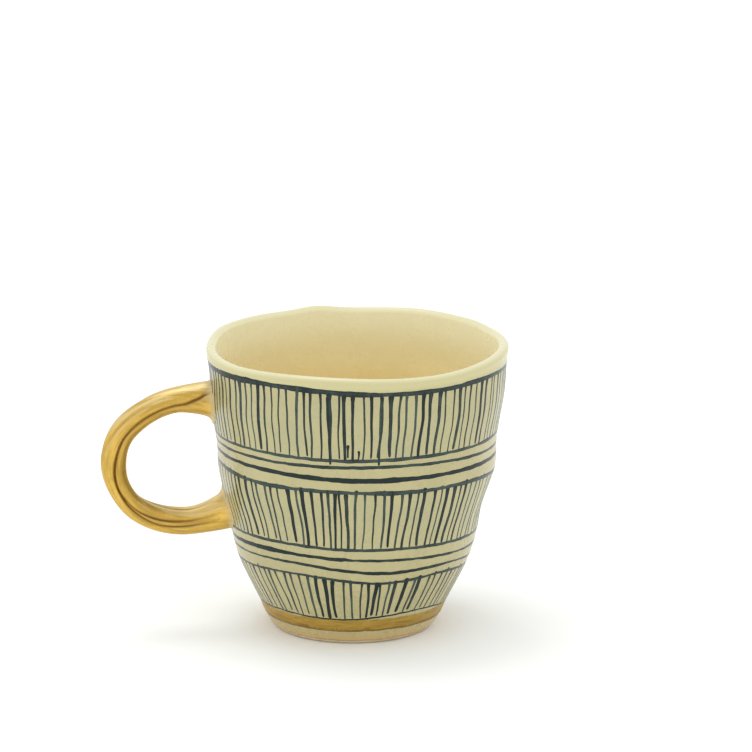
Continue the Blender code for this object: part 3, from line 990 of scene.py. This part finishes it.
def ring_tree(wave, surface):
    """Tree of one brushed ring that runs right round the cup."""
    tree, given, leave = new_tree("brushed_ring", "GeometryNodeTree", {
        "Cup": ("object", None), "Cup Height": ("length", 86.6 * MM), **wave_inputs("Line"),
        "Width": ("length", 1.0 * MM), "Swell": ("number", 0.0), "Swell Angle": ("angle", 0.0),
        "Swell Reach": ("angle", 0.7), "Uneven": ("share", 0.2), "Ragged Edge": ("length", 0.05 * MM),
        "Film": ("length", 0.03 * MM), "Steps": ("count", 540), "Sides": ("count", 6),
        "Ink": ("share", 0.5), "Seed": ("number", 0.0), "Material": ("material", None),
    }, {"Geometry": ("geometry", None)})
    tube = flow(tree, "GeometryNodeMeshCylinder", given["Sides"], given["Steps"], 1.0, 2.0, fill_type="NONE")
    apart = add_node(tree, "ShaderNodeSeparateXYZ", flow(tree, "GeometryNodeInputPosition"))
    across, rise, way = (Flow(tree, socket) for socket in apart.outputs)
    angle = (way + 1.0) * math.pi
    tremble_size = 0.22 * MM
    cosine, sine = angle.math("COSINE"), angle.math("SINE")
    pressure = unevenness(tree, cosine, sine, given["Seed"], scale=4.0, detail=2.0)
    tremble = unevenness(tree, cosine, sine, given["Seed"] + 5.0, scale=14.0, detail=1.0)
    rough = unevenness(tree, cosine, sine, across * 0.4 + given["Seed"], scale=34.0, detail=2.0)
    reach = given["Swell Reach"]
    swell = (((angle - given["Swell Angle"]).math("COSINE") - 1.0) / (reach * reach)).math("EXPONENT")
    width = given["Width"] * (pressure * given["Uneven"] * 2.2 + 1.0) * (swell * given["Swell"] + 1.0)
    height = drawn_height(tree, wave, given, "Line", angle)
    height = height + tremble * tremble_size + across * width * 0.5 + across * rough * given["Ragged Edge"]
    lift = (rise + 0.5) * given["Film"]
    spot = spot_on_cup(tree, surface, given, angle, height, lift)
    shaped = keep(tree, tube, "across", across)
    shaped = keep(tree, shaped, "ink", given["Ink"] + pressure * 0.35 + swell * given["Swell"] * 0.5)
    shaped = flow(tree, "GeometryNodeSetPosition", shaped, True, spot["Position"])
    joined = flow(tree, "GeometryNodeMergeByDistance", shaped, True, 0.002 * MM)
    finish_paint(tree, joined, given["Material"], leave)
    return tree


def stroke_tree(wave, surface):
    """Tree of a band of upright brush strokes between two hand-drawn lines."""
    tree, given, leave = new_tree("brush_strokes", "GeometryNodeTree", {
        "Cup": ("object", None), "Cup Height": ("length", 86.6 * MM),
        "Strokes": ("count", 100), "Start Angle": ("angle", 0.0), "Spacing Jitter": ("share", 0.22),
        **wave_inputs("Top"), **wave_inputs("Bottom"),
        "Overrun": ("length", 0.98 * MM), "Shortfall": ("length", 0.9 * MM),
        "Width": ("length", 0.75 * MM), "Thick Share": ("share", 0.25), "Thick Gain": ("number", 0.55),
        "Gather": ("length", 1.0 * MM), "Lean": ("length", 0.5 * MM), "Bow": ("length", 0.30 * MM),
        "Wobble": ("length", 0.30 * MM), "Blob": ("share", 0.38), "Taper": ("share", 0.3),
        "Film": ("length", 0.03 * MM), "Ink": ("share", 0.55), "Seed": ("count", 0),
        "Material": ("material", None),
    }, {"Geometry": ("geometry", None)})
    index = flow(tree, "GeometryNodeInputIndex")

    def chance(low, high, turn):
        seed = given["Seed"] + turn
        return flow(tree, "FunctionNodeRandomValue", low, high, index, seed, data_type="FLOAT")

    jitter = chance(-1.0, 1.0, 1) * given["Spacing Jitter"]
    angle = (index + jitter) * math.tau / given["Strokes"] + given["Start Angle"]
    top = drawn_height(tree, wave, given, "Top", angle) + chance(-0.35, 1.0, 2) * given["Overrun"]
    bottom = drawn_height(tree, wave, given, "Bottom", angle) + chance(-0.6, 1.0, 3) * given["Shortfall"]
    thick = chance(0.0, 1.0, 4).math("LESS_THAN", given["Thick Share"])
    width = given["Width"] * (thick * given["Thick Gain"] + 1.0) * chance(0.78, 1.22, 5)
    gather = angle.math("COSINE") * given["Gather"] * -1.0
    kept = {
        "stroke_angle": angle,
        "stroke_top": top,
        "stroke_bottom": bottom,
        "stroke_width": width,
        "stroke_lean": gather + chance(-1.0, 1.0, 6) * given["Lean"],
        "stroke_bow": chance(-1.0, 1.0, 7) * given["Bow"],
        "stroke_ink": given["Ink"] + chance(-0.28, 0.28, 8) + thick * 0.3,
        "stroke_number": index + given["Seed"] * 3.7,
    }
    points = flow(tree, "GeometryNodePoints", given["Strokes"])
    for name, value in kept.items():
        points = keep(tree, points, name, value)
    bristle = flow(tree, "GeometryNodeMeshCylinder", 4, STROKE_STEPS, 1, 1.0, 2.0, fill_type="NGON")
    strokes = flow(tree, "GeometryNodeInstanceOnPoints", points)
    feed(tree, strokes.socket.node.inputs["Instance"], bristle)
    strokes = flow(tree, "GeometryNodeRealizeInstances", strokes)

    apart = add_node(tree, "ShaderNodeSeparateXYZ", flow(tree, "GeometryNodeInputPosition"))
    across, rise, up = (Flow(tree, socket) for socket in apart.outputs)
    angle, number = read(tree, "stroke_angle"), read(tree, "stroke_number")
    top, bottom = read(tree, "stroke_top"), read(tree, "stroke_bottom")
    half_width = read(tree, "stroke_width") * 0.5
    half_length = (top - bottom) * 0.5
    body = (STROKE_STEPS - 2 * STROKE_END_STEPS) / STROKE_STEPS
    share = abs(up)
    cap = ((share - body) / (1.0 - body)).clamped() * math.radians(78)
    reach = (share / body).clamped() * (half_length - half_width) + cap.math("SINE") * half_width
    down = reach * up.math("SIGN") * -1.0
    place = down / half_length
    height = (top + bottom) * 0.5 - down
    from_top = down + half_length
    blob_reach, pulse_pitch, wander_pitch = 1.3 * MM, 190.0, 110.0
    blob = ((from_top / blob_reach) * (from_top / blob_reach) * -1.0).math("EXPONENT") * given["Blob"]
    taper = (place * 0.5 + 0.5) * given["Taper"]
    pulse = unevenness(tree, height * pulse_pitch, number, 0.0)
    width = half_width * cap.math("COSINE") * (blob - taper + 1.0) * (pulse * 0.3 + 1.0)
    wander = unevenness(tree, height * wander_pitch, number * 1.7, 9.0) * given["Wobble"] * 1.6
    offset = read(tree, "stroke_lean") * place * 0.5
    offset = offset + read(tree, "stroke_bow") * (1.0 - place * place) + wander
    middle = spot_on_cup(tree, surface, given, angle, height, 0.0)
    turned = angle + (across * width + offset) / middle["Radius"]
    lift = (rise * cap.math("COSINE") + 0.5) * given["Film"]
    spot = spot_on_cup(tree, surface, given, turned, height, lift)
    ink = read(tree, "stroke_ink") + blob * 0.5 + pulse * 0.12
    strokes = keep(tree, strokes, "across", across)
    strokes = keep(tree, strokes, "ink", ink)
    strokes = flow(tree, "GeometryNodeSetPosition", strokes, True, spot["Position"])
    for name in kept:
        strokes = flow(tree, "GeometryNodeRemoveAttribute", strokes)
        feed(tree, strokes.socket.node.inputs["Name"], name)
    finish_paint(tree, strokes, given["Material"], leave)
    return tree


def run_tree(name, tree, values):
    """Run a tree once with its own values and return the result as a plain mesh."""
    host = bpy.data.objects.new(name, bpy.data.meshes.new(name))
    bpy.context.scene.collection.objects.link(host)
    modifier = host.modifiers.new(tree.name, "NODES")
    modifier.node_group = tree
    names = {item.name: item for item in tree.interface.items_tree if item.item_type == "SOCKET"}
    for label, value in values.items():
        item = names[label]
        is_count = item.socket_type == "NodeSocketInt"
        modifier[item.identifier] = int(value) if is_count else value
    bpy.context.view_layer.update()
    mesh = bpy.data.meshes.new_from_object(host.evaluated_get(bpy.context.evaluated_depsgraph_get()))
    host.modifiers.remove(modifier)
    bpy.data.objects.remove(host)
    if not mesh.polygons:
        raise RuntimeError(f"{name} came out empty")
    return mesh


def wave_values(label, height, rows):
    """Values of one line's sockets from its height and waves."""
    values = {f"{label} Height": height * MM}
    for number, (size, crest) in enumerate(rows, 1):
        values[f"{label} Wave {number}"] = size * MM
        values[f"{label} Crest {number}"] = math.radians(crest)
    return values


# ---------------------------------------------------------------- materials

def shader_groups():
    """Surface effects that several finishes share."""
    return {"mottle": mottle_group(), "brushed": brushed_group(), "pits": pits_group()}


def scaled_place(tree, size):
    """Place on the piece, counted in a size."""
    coords = Flow(tree, add_node(tree, "ShaderNodeTexCoord").outputs["Object"])
    scaled = add_node(tree, "ShaderNodeVectorMath", coords, operation="SCALE")
    feed(tree, scaled.inputs["Scale"], size.math("POWER", -1.0))
    return Flow(tree, scaled.outputs[0])


def mottle_group():
    """Cloudy variation over a surface, broad and fine together."""
    tree, given, leave = new_tree("cloudy_mottle", "ShaderNodeTree", {
        "Broad Size": ("length", 12.0 * MM), "Fine Size": ("length", 2.0 * MM), "Fine Share": ("share", 0.3),
    }, {"Cloud": ("number", None), "Height": ("number", None)})
    fine = flow(tree, "ShaderNodeTexNoise", scaled_place(tree, given["Fine Size"]), 1.0, 2.0)
    broad = flow(tree, "ShaderNodeTexNoise", scaled_place(tree, given["Broad Size"]), 1.0, 3.0)
    share = given["Fine Share"]
    feed(tree, leave.inputs["Cloud"], broad * (1.0 - share) + fine * share)
    feed(tree, leave.inputs["Height"], fine)
    lay_out(tree)
    return tree


def brushed_group():
    """Fine brush marks that run level round the mug."""
    tree, given, leave = new_tree("brush_marks", "ShaderNodeTree", {
        "Length": ("length", 14.0 * MM), "Pitch": ("length", 0.5 * MM),
    }, {"Marks": ("number", None)})
    coords = Flow(tree, add_node(tree, "ShaderNodeTexCoord").outputs["Object"])
    apart = add_node(tree, "ShaderNodeSeparateXYZ", coords)
    x, y, z = (Flow(tree, socket) for socket in apart.outputs)
    spot = flow(tree, "ShaderNodeCombineXYZ", x / given["Length"], y / given["Length"], z / given["Pitch"])
    feed(tree, leave.inputs["Marks"], flow(tree, "ShaderNodeTexNoise", spot, 1.0, 3.0))
    lay_out(tree)
    return tree


def pits_group():
    """Sparse pinholes in a glaze."""
    tree, given, leave = new_tree("pinholes", "ShaderNodeTree", {
        "Spacing": ("length", 5.0 * MM), "Pit Size": ("share", 0.05),
    }, {"Pits": ("number", None)})
    cells = flow(tree, "ShaderNodeTexVoronoi", scaled_place(tree, given["Spacing"]), 1.0)
    feed(tree, leave.inputs["Pits"], 1.0 - cells.ramp(0.0, given["Pit Size"]))
    lay_out(tree)
    return tree


def new_material(name):
    """New node material and its tree."""
    material = bpy.data.materials.new(name)
    material.use_nodes = True
    return material, material.node_tree


def dress(tree, values):
    """Feed a material's shader what changes over the surface, and set what doesn't."""
    for name, value in values.items():
        feed(tree, tree.nodes["Principled BSDF"].inputs[name], value)
    lay_out(tree)


def mix_colour(tree, share, first, second):
    """Blend two colours by a share."""
    node = add_node(tree, "ShaderNodeMix", data_type="RGBA")
    sockets = [socket for socket in node.inputs if socket.enabled]
    for socket, value in zip(sockets, (share, first, second)):
        if isinstance(value, Flow):
            feed(tree, socket, value)
        elif isinstance(value, float):
            socket.default_value = value
        else:
            socket.default_value = (*value, 1.0)
    return Flow(tree, next(socket for socket in node.outputs if socket.enabled))


def shade(colour, factor):
    """A colour made darker or lighter."""
    return tuple(min(channel * factor, 1.0) for channel in colour)


def object_height(tree):
    """Height of a point above the table."""
    coords = Flow(tree, add_node(tree, "ShaderNodeTexCoord").outputs["Object"])
    return Flow(tree, add_node(tree, "ShaderNodeSeparateXYZ", coords).outputs[2])


def attribute(tree, name):
    """Read a value kept on the mesh."""
    node = add_node(tree, "ShaderNodeAttribute", attribute_name=name)
    return Flow(tree, node.outputs["Fac"])


def bump(tree, height, distance, strength):
    """Turn a height over the surface into a normal."""
    node = add_node(tree, "ShaderNodeBump")
    node.inputs["Strength"].default_value = strength
    node.inputs["Distance"].default_value = distance
    feed(tree, node.inputs["Height"], height)
    return Flow(tree, node.outputs[0])


def glaze_material(cup, groups):
    """Cream glaze: cloudy, with painted light inside, browner at the foot, pale on the lip, faintly washed
    with ink.
    """
    material, tree = new_material("cup_glaze")
    cloud = use_group(tree, groups["mottle"], {
        "Broad Size": 11.0 * MM, "Fine Size": 1.4 * MM, "Fine Share": 0.3,
    })
    pits = use_group(tree, groups["pits"], {"Spacing": 5.5 * MM, "Pit Size": 0.028})["Pits"]
    inside = attribute(tree, "inside")
    height = object_height(tree)
    tone = cloud["Cloud"].ramp(0.3, 0.7)
    drift = cloud["Height"].ramp(0.3, 0.7)
    outside = mix_colour(tree, tone, shade(cup.glaze, 0.93), shade(cup.glaze, 1.07))
    outside = mix_colour(tree, drift * 0.32, outside, WARM_TINT)
    for start, full, fade, end, strength in INK_WASHES:
        wash = height.ramp(start * MM, full * MM) * (1.0 - height.ramp(fade * MM, end * MM)) * strength
        outside = mix_colour(tree, wash * ((1.0 - tone) * 0.35 + 0.10), outside, WASHED_TINT)
    foot = 1.0 - height.ramp(2.4 * MM, 4.4 * MM)
    outside = mix_colour(tree, foot * 0.9, outside, FOOT_TINT)
    outside = mix_colour(tree, height.ramp(81.5 * MM, 84.5 * MM), outside, LIP_FACE_TINT)
    # Painted light: the inside is a brighter, warmer copy of the outside glaze.
    inside_with_painted_light = mix_colour(tree, tone, shade(cup.glaze_inside_painted_light, 0.98), shade(cup.glaze_inside_painted_light, 1.02))
    # Painted light: paler towards the top inside, where more light falls into the cup.
    inside_with_painted_light = mix_colour(tree, height.ramp(58.0 * MM, 86.0 * MM), inside_with_painted_light, HIGH_INSIDE_PAINTED_LIGHT)
    colour = mix_colour(tree, inside.ramp(0.05, 0.35), outside, cup.glaze_lip)
    colour = mix_colour(tree, inside.ramp(0.60, 1.0), colour, inside_with_painted_light)
    pits = pits * (1.0 - inside.ramp(0.0, 0.2))
    relief = cloud["Height"] * (0.40 - inside * 0.34) - pits * 0.6
    dress(tree, {
        "Base Color": mix_colour(tree, pits * 0.4, colour, shade(cup.clay, 0.5)),
        "Roughness": tone * 0.07 + 0.24,
        "Normal": bump(tree, relief, 0.02 * MM, 0.5),
        "IOR": GLAZE_IOR,
    })
    return material


def clay_material(cup, groups):
    """Bare fired clay: dry, sandy and pitted."""
    material, tree = new_material("bare_clay")
    cloud = use_group(tree, groups["mottle"], {
        "Broad Size": 6.0 * MM, "Fine Size": 0.5 * MM, "Fine Share": 0.5,
    })
    pits = use_group(tree, groups["pits"], {"Spacing": 1.3 * MM, "Pit Size": 0.14})["Pits"]
    tone = cloud["Cloud"].ramp(0.3, 0.7)
    colour = mix_colour(tree, tone, shade(cup.clay, 0.86), shade(cup.clay, 1.1))
    dress(tree, {
        "Base Color": mix_colour(tree, pits * 0.6, colour, shade(cup.clay, 0.5)),
        "Roughness": tone * 0.12 + 0.72,
        "Normal": bump(tree, cloud["Height"] - pits, 0.08 * MM, 0.8),
    })
    return material


def ink_material(paint, groups):
    """Blue-black ink on the glaze, darker where the brush left more of it."""
    material, tree = new_material("brushed_ink")
    cloud = use_group(tree, groups["mottle"], {
        "Broad Size": 3.0 * MM, "Fine Size": 0.5 * MM, "Fine Share": 0.4,
    })
    ink, across = attribute(tree, "ink"), attribute(tree, "across")
    strength = ink + (cloud["Cloud"] - 0.5) * 1.1 + across * across * 0.22 - 0.08
    dress(tree, {
        "Base Color": mix_colour(tree, strength.ramp(0.1, 0.95), paint.thin_ink, paint.dark_ink),
        "Roughness": cloud["Cloud"] * 0.10 + 0.20,
        "Normal": bump(tree, cloud["Height"], 0.02 * MM, 0.5),
        "IOR": GLAZE_IOR,
        "Specular IOR Level": 0.2,
    })
    return material


def handle_gold_material(handle, groups):
    """Gold lustre brushed along the coils: painted shade in creases and below, painted highlight on top,
    short of the wall.
    """
    material, tree = new_material("handle_lustre")
    cloud = use_group(tree, groups["mottle"], {
        "Broad Size": 6.0 * MM, "Fine Size": 0.9 * MM, "Fine Share": 0.35,
    })
    way = add_node(tree, "ShaderNodeAttribute", attribute_name="brush_way")
    marks = flow(tree, "ShaderNodeTexNoise", Flow(tree, way.outputs["Vector"]), 1.0, 3.0)
    facing = add_node(tree, "ShaderNodeNewGeometry").outputs["Normal"]
    upward = Flow(tree, add_node(tree, "ShaderNodeSeparateXYZ", Flow(tree, facing)).outputs[2])
    tone = (cloud["Cloud"] * 0.35 + marks * 0.65).ramp(0.38, 0.62)
    gold = mix_colour(tree, tone, shade(handle.gold, 0.78), shade(handle.gold, 1.12))
    # Painted highlight: pale gold on the upward faces, broken up by the brush marks.
    highlighted = (upward + (marks - 0.5) * 2.4).ramp(0.15, 1.05)
    gold = mix_colour(tree, highlighted * 0.75, gold, handle.highlight_gold)
    # Painted shade: the darker gold mixed onto the downward faces.
    shaded = (upward * -1.0 + (marks - 0.5) * 1.4).ramp(0.10, 1.10)
    gold = mix_colour(tree, shaded * 0.18, gold, handle.shade_and_streak_gold)
    # Painted shade in the creases: a thin dark line and a soft shade on the inner side.
    crease = (attribute(tree, "crease") * (marks * 1.1 + 0.70)).clamped()
    gold = mix_colour(tree, crease, gold, handle.shade_and_streak_gold)
    reach = attribute(tree, "from_wall") + ((marks - 0.5) * 5.0 + (cloud["Cloud"] - 0.5) * 3.0) * MM
    cover = reach.ramp(handle.bare * -0.2, handle.bare * 2.4)
    bare = mix_colour(tree, tone, JOINT_DARK_TINT, JOINT_PALE_TINT)
    dress(tree, {
        "Base Color": mix_colour(tree, cover, bare, gold),
        "Metallic": cover * 0.90,
        "Roughness": highlighted * 0.12 - tone * 0.08 + 0.44,
        "Normal": bump(tree, cloud["Height"] * 0.6 + marks, 0.12 * MM, 0.7),
    })
    return material


def band_gold_material(handle, groups):
    """Gold lustre of the foot band: streaked by the brush, and brown along its lower edge."""
    material, tree = new_material("band_lustre")
    cloud = use_group(tree, groups["mottle"], {
        "Broad Size": 6.0 * MM, "Fine Size": 0.7 * MM, "Fine Share": 0.3,
    })
    marks = use_group(tree, groups["brushed"], {"Length": 9.0 * MM, "Pitch": 0.6 * MM})["Marks"]
    across = attribute(tree, "across")
    streak = (marks * 0.6 + cloud["Cloud"] * 0.4).ramp(0.38, 0.62)
    colour = mix_colour(tree, streak, shade(handle.gold, 0.60), shade(handle.gold, 0.84))
    low = (across * -1.0 + (cloud["Cloud"] - 0.5) * 3.0).ramp(0.30, 1.10)
    thin = (marks + low * 0.36).ramp(0.55, 0.69)
    colour = mix_colour(tree, thin * 0.90, colour, handle.shade_and_streak_gold)
    hem = (across * -1.0 + (marks - 0.5) * 1.6).ramp(0.74, 0.96)
    dress(tree, {
        "Base Color": mix_colour(tree, hem * 0.75, colour, shade(handle.shade_and_streak_gold, 0.8)),
        "Metallic": 0.85 - thin * 0.35,
        "Roughness": streak * -0.10 + 0.44,
        "Normal": bump(tree, marks, 0.05 * MM, 0.6),
    })
    return material


def floor_material(stage):
    """Pale matt paper under the mug."""
    material, tree = new_material("pale_floor")
    coords = Flow(tree, add_node(tree, "ShaderNodeTexCoord").outputs["Object"])
    cloud = flow(tree, "ShaderNodeTexNoise", coords, 2.0)
    darker, lighter = shade(stage.floor_colour, 0.99), shade(stage.floor_colour, 1.01)
    dress(tree, {
        "Base Color": mix_colour(tree, cloud, darker, lighter),
        "Roughness": 0.9,
        "Specular IOR Level": 0.1,
    })
    return material


def made(collection, name):
    """A material or a piece that an earlier step made."""
    found = collection.get(name)
    if found is None:
        raise RuntimeError(f"{name} is missing: run the earlier steps first")
    return found


def tree_named(name):
    """A paint tree, built once and used again."""
    if name not in bpy.data.node_groups:
        wave, surface = wave_group(), surface_group()
        ring_tree(wave, surface)
        stroke_tree(wave, surface)
    return bpy.data.node_groups[name]


def paint_piece(name, tree_name, ink_name, values, nodes=()):
    """Paint one piece on the cup by a tree with its own values."""
    mesh = run_tree(name, tree_named(tree_name), {
        "Cup": made(bpy.data.objects, "glazed_cup"),
        "Cup Height": bpy.context.scene.mug_cup.height,
        "Material": made(bpy.data.materials, ink_name),
        **values,
    })
    point_outwards(mesh)
    add_piece(name, mesh, nodes)


# ---------------------------------------------------------------- operators

class MUG_OT_cup(bpy.types.Operator):
    """Build the glazed cup and its bare clay foot"""

    bl_idname = "mug.cup"
    bl_label = "Glazed Cup"

    def execute(self, context):
        scene = context.scene
        groups = shader_groups()
        glaze_material(scene.mug_cup, groups)
        clay_material(scene.mug_cup, groups)
        ink_material(scene.mug_paint, groups)
        handle_gold_material(scene.mug_handle, groups)
        band_gold_material(scene.mug_handle, groups)
        build_cup(scene.mug_cup)
        build_foot(scene.mug_cup)
        return {"FINISHED"}


class MUG_OT_handle(bpy.types.Operator):
    """Build the twisted gold handle"""

    bl_idname = "mug.handle"
    bl_label = "Gold Handle"

    def execute(self, context):
        build_handle(context.scene.mug_cup, context.scene.mug_handle)
        return {"FINISHED"}


class MUG_OT_band(bpy.types.Operator):
    """Brush the gold band round the foot"""

    bl_idname = "mug.band"
    bl_label = "Gold Band"

    def execute(self, context):
        paint = context.scene.mug_paint
        paint_piece("gold_band", "brushed_ring", "band_lustre", {
            **wave_values("Line", paint.band_height / MM, BAND_WAVES),
            "Width": paint.band_width, "Uneven": 0.06, "Ragged Edge": 0.18 * MM, "Film": 0.07 * MM,
            "Steps": 720, "Sides": 16, "Seed": float(paint.seed) + 61.0,
        }, ("gold_foot_band",))
        return {"FINISHED"}


class MUG_OT_lines(bpy.types.Operator):
    """Brush the level lines round the cup"""

    bl_idname = "mug.lines"
    bl_label = "Painted Lines"

    def execute(self, context):
        paint = context.scene.mug_paint
        for number, row in enumerate(PAINTED_LINES):
            name, height, waves_of_line, width, swell, swell_angle, swell_reach, uneven, ink = row
            paint_piece(name, "brushed_ring", "brushed_ink", {
                **wave_values("Line", height, waves_of_line),
                "Width": width * MM, "Swell": swell, "Swell Angle": math.radians(swell_angle),
                "Swell Reach": math.radians(swell_reach), "Uneven": uneven, "Ragged Edge": 0.05 * MM,
                "Film": paint.film, "Ink": ink, "Seed": float(paint.seed) + number * 7.3,
            })
        return {"FINISHED"}


class MUG_OT_strokes(bpy.types.Operator):
    """Brush the three bands of upright strokes and the stray ones between them"""

    bl_idname = "mug.strokes"
    bl_label = "Brush Strokes"

    def execute(self, context):
        paint = context.scene.mug_paint
        lines = {row[0]: row for row in PAINTED_LINES}
        for name, above, below, count, gather, seed in STROKE_BANDS:
            paint_piece(name, "brush_strokes", "brushed_ink", {
                **wave_values("Top", lines[above][1], lines[above][2]),
                **wave_values("Bottom", lines[below][1], lines[below][2]),
                "Strokes": count, "Width": paint.stroke_width, "Thick Share": paint.thick_share,
                "Film": paint.film * BAND_FILM, "Gather": gather * MM, "Seed": seed + paint.seed,
            })
        for number, (angle, top, bottom, width, lean, ink) in enumerate(STRAY_STROKES, 1):
            paint_piece(f"stray_stroke_{number}", "brush_strokes", "brushed_ink", {
                "Strokes": 1, "Start Angle": math.radians(angle), "Spacing Jitter": 0.0,
                "Top Height": top * MM, "Bottom Height": bottom * MM, "Overrun": 0.0, "Shortfall": 0.0,
                "Width": width * MM, "Thick Share": 0.0, "Gather": 0.0, "Lean": lean * MM,
                "Film": paint.film * STRAY_FILM, "Ink": ink, "Seed": number * 5 + paint.seed,
            })
        return {"FINISHED"}


class MUG_OT_stage(bpy.types.Operator):
    """Set up the floor, the light and the camera"""

    bl_idname = "mug.stage"
    bl_label = "Stage"

    def execute(self, context):
        scene, stage = context.scene, context.scene.mug_stage
        mesh = bpy.data.meshes.new("floor")
        half, level = stage.floor_size / 2, CAD_BOX[0].z
        corners = [(-half, -half, level), (half, -half, level), (half, half, level), (-half, half, level)]
        mesh.from_pydata(corners, [], [(0, 1, 2, 3)])
        mesh.materials.append(floor_material(stage))
        floor = bpy.data.objects.new("floor", mesh)
        scene.collection.objects.link(floor)
        world = bpy.data.worlds.new("even_daylight")
        world.use_nodes = True
        background = world.node_tree.nodes["Background"]
        background.inputs["Color"].default_value = (1.0, 1.0, 1.0, 1.0)
        background.inputs["Strength"].default_value = stage.daylight
        scene.world = world
        middle = (CAD_BOX[0] + CAD_BOX[1]) / 2
        add_softbox(scene, middle + SOFTBOX_PLACE, middle, stage.softbox)
        add_camera(scene, stage)
        scene.view_settings.view_transform = "Standard"
        return {"FINISHED"}


def add_softbox(scene, place, target, power):
    """Square soft light overhead, turned towards a place."""
    light = bpy.data.lights.new("overhead_softbox", "AREA")
    light.shape = "SQUARE"
    light.size = SOFTBOX_SIDE
    light.energy = power
    lamp = bpy.data.objects.new("overhead_softbox", light)
    turn = (target - place).to_track_quat("-Z", "Y").to_matrix().to_4x4()
    lamp.matrix_world = Matrix.Translation(place) @ turn
    scene.collection.objects.link(lamp)


def add_camera(scene, stage):
    """Camera turned round the mug by its azimuth and elevation."""
    back = Vector((
        math.sin(stage.azimuth) * math.cos(stage.elevation),
        -math.cos(stage.azimuth) * math.cos(stage.elevation),
        math.sin(stage.elevation),
    ))
    data = bpy.data.cameras.new("mug_camera")
    data.lens = stage.lens
    data.sensor_width = 36.0
    camera = bpy.data.objects.new("mug_camera", data)
    turn = (-back).to_track_quat("-Z", "Y").to_matrix().to_4x4()
    camera.matrix_world = Matrix.Translation(CAMERA_AIM + back * stage.distance) @ turn
    scene.collection.objects.link(camera)
    scene.camera = camera


class MUG_PT_panel(bpy.types.Panel):
    """Steps and settings of the mug"""

    bl_idname = "MUG_PT_panel"
    bl_label = "Handmade Mug"
    bl_space_type = "VIEW_3D"
    bl_region_type = "UI"
    bl_category = "Mug"

    def draw(self, context):
        layout = self.layout
        for operator in STEPS:
            layout.operator(operator.bl_idname)
        for group in SETTINGS:
            box = layout.box()
            settings = getattr(context.scene, SETTINGS[group])
            for name in group.__annotations__:
                box.prop(settings, name)


STEPS = (MUG_OT_cup, MUG_OT_handle, MUG_OT_band, MUG_OT_lines, MUG_OT_strokes, MUG_OT_stage)
SETTINGS = {
    CupSettings: "mug_cup",
    HandleSettings: "mug_handle",
    PaintSettings: "mug_paint",
    StageSettings: "mug_stage",
}


def register():
    """Register the settings, the steps and the panel."""
    for group, name in SETTINGS.items():
        bpy.utils.register_class(group)
        setattr(bpy.types.Scene, name, PointerProperty(type=group))
    for step in (*STEPS, MUG_PT_panel):
        bpy.utils.register_class(step)


def unregister():
    """Take the settings, the steps and the panel away again."""
    for step in reversed((*STEPS, MUG_PT_panel)):
        bpy.utils.unregister_class(step)
    for group, name in SETTINGS.items():
        delattr(bpy.types.Scene, name)
        bpy.utils.unregister_class(group)


def main():
    """Build the mug step by step."""
    register()
    bpy.ops.mug.cup()
    bpy.ops.mug.handle()
    bpy.ops.mug.band()
    bpy.ops.mug.lines()
    bpy.ops.mug.strokes()
    bpy.ops.mug.stage()
    bpy.context.view_layer.update()


if __name__ == "__main__":
    main()
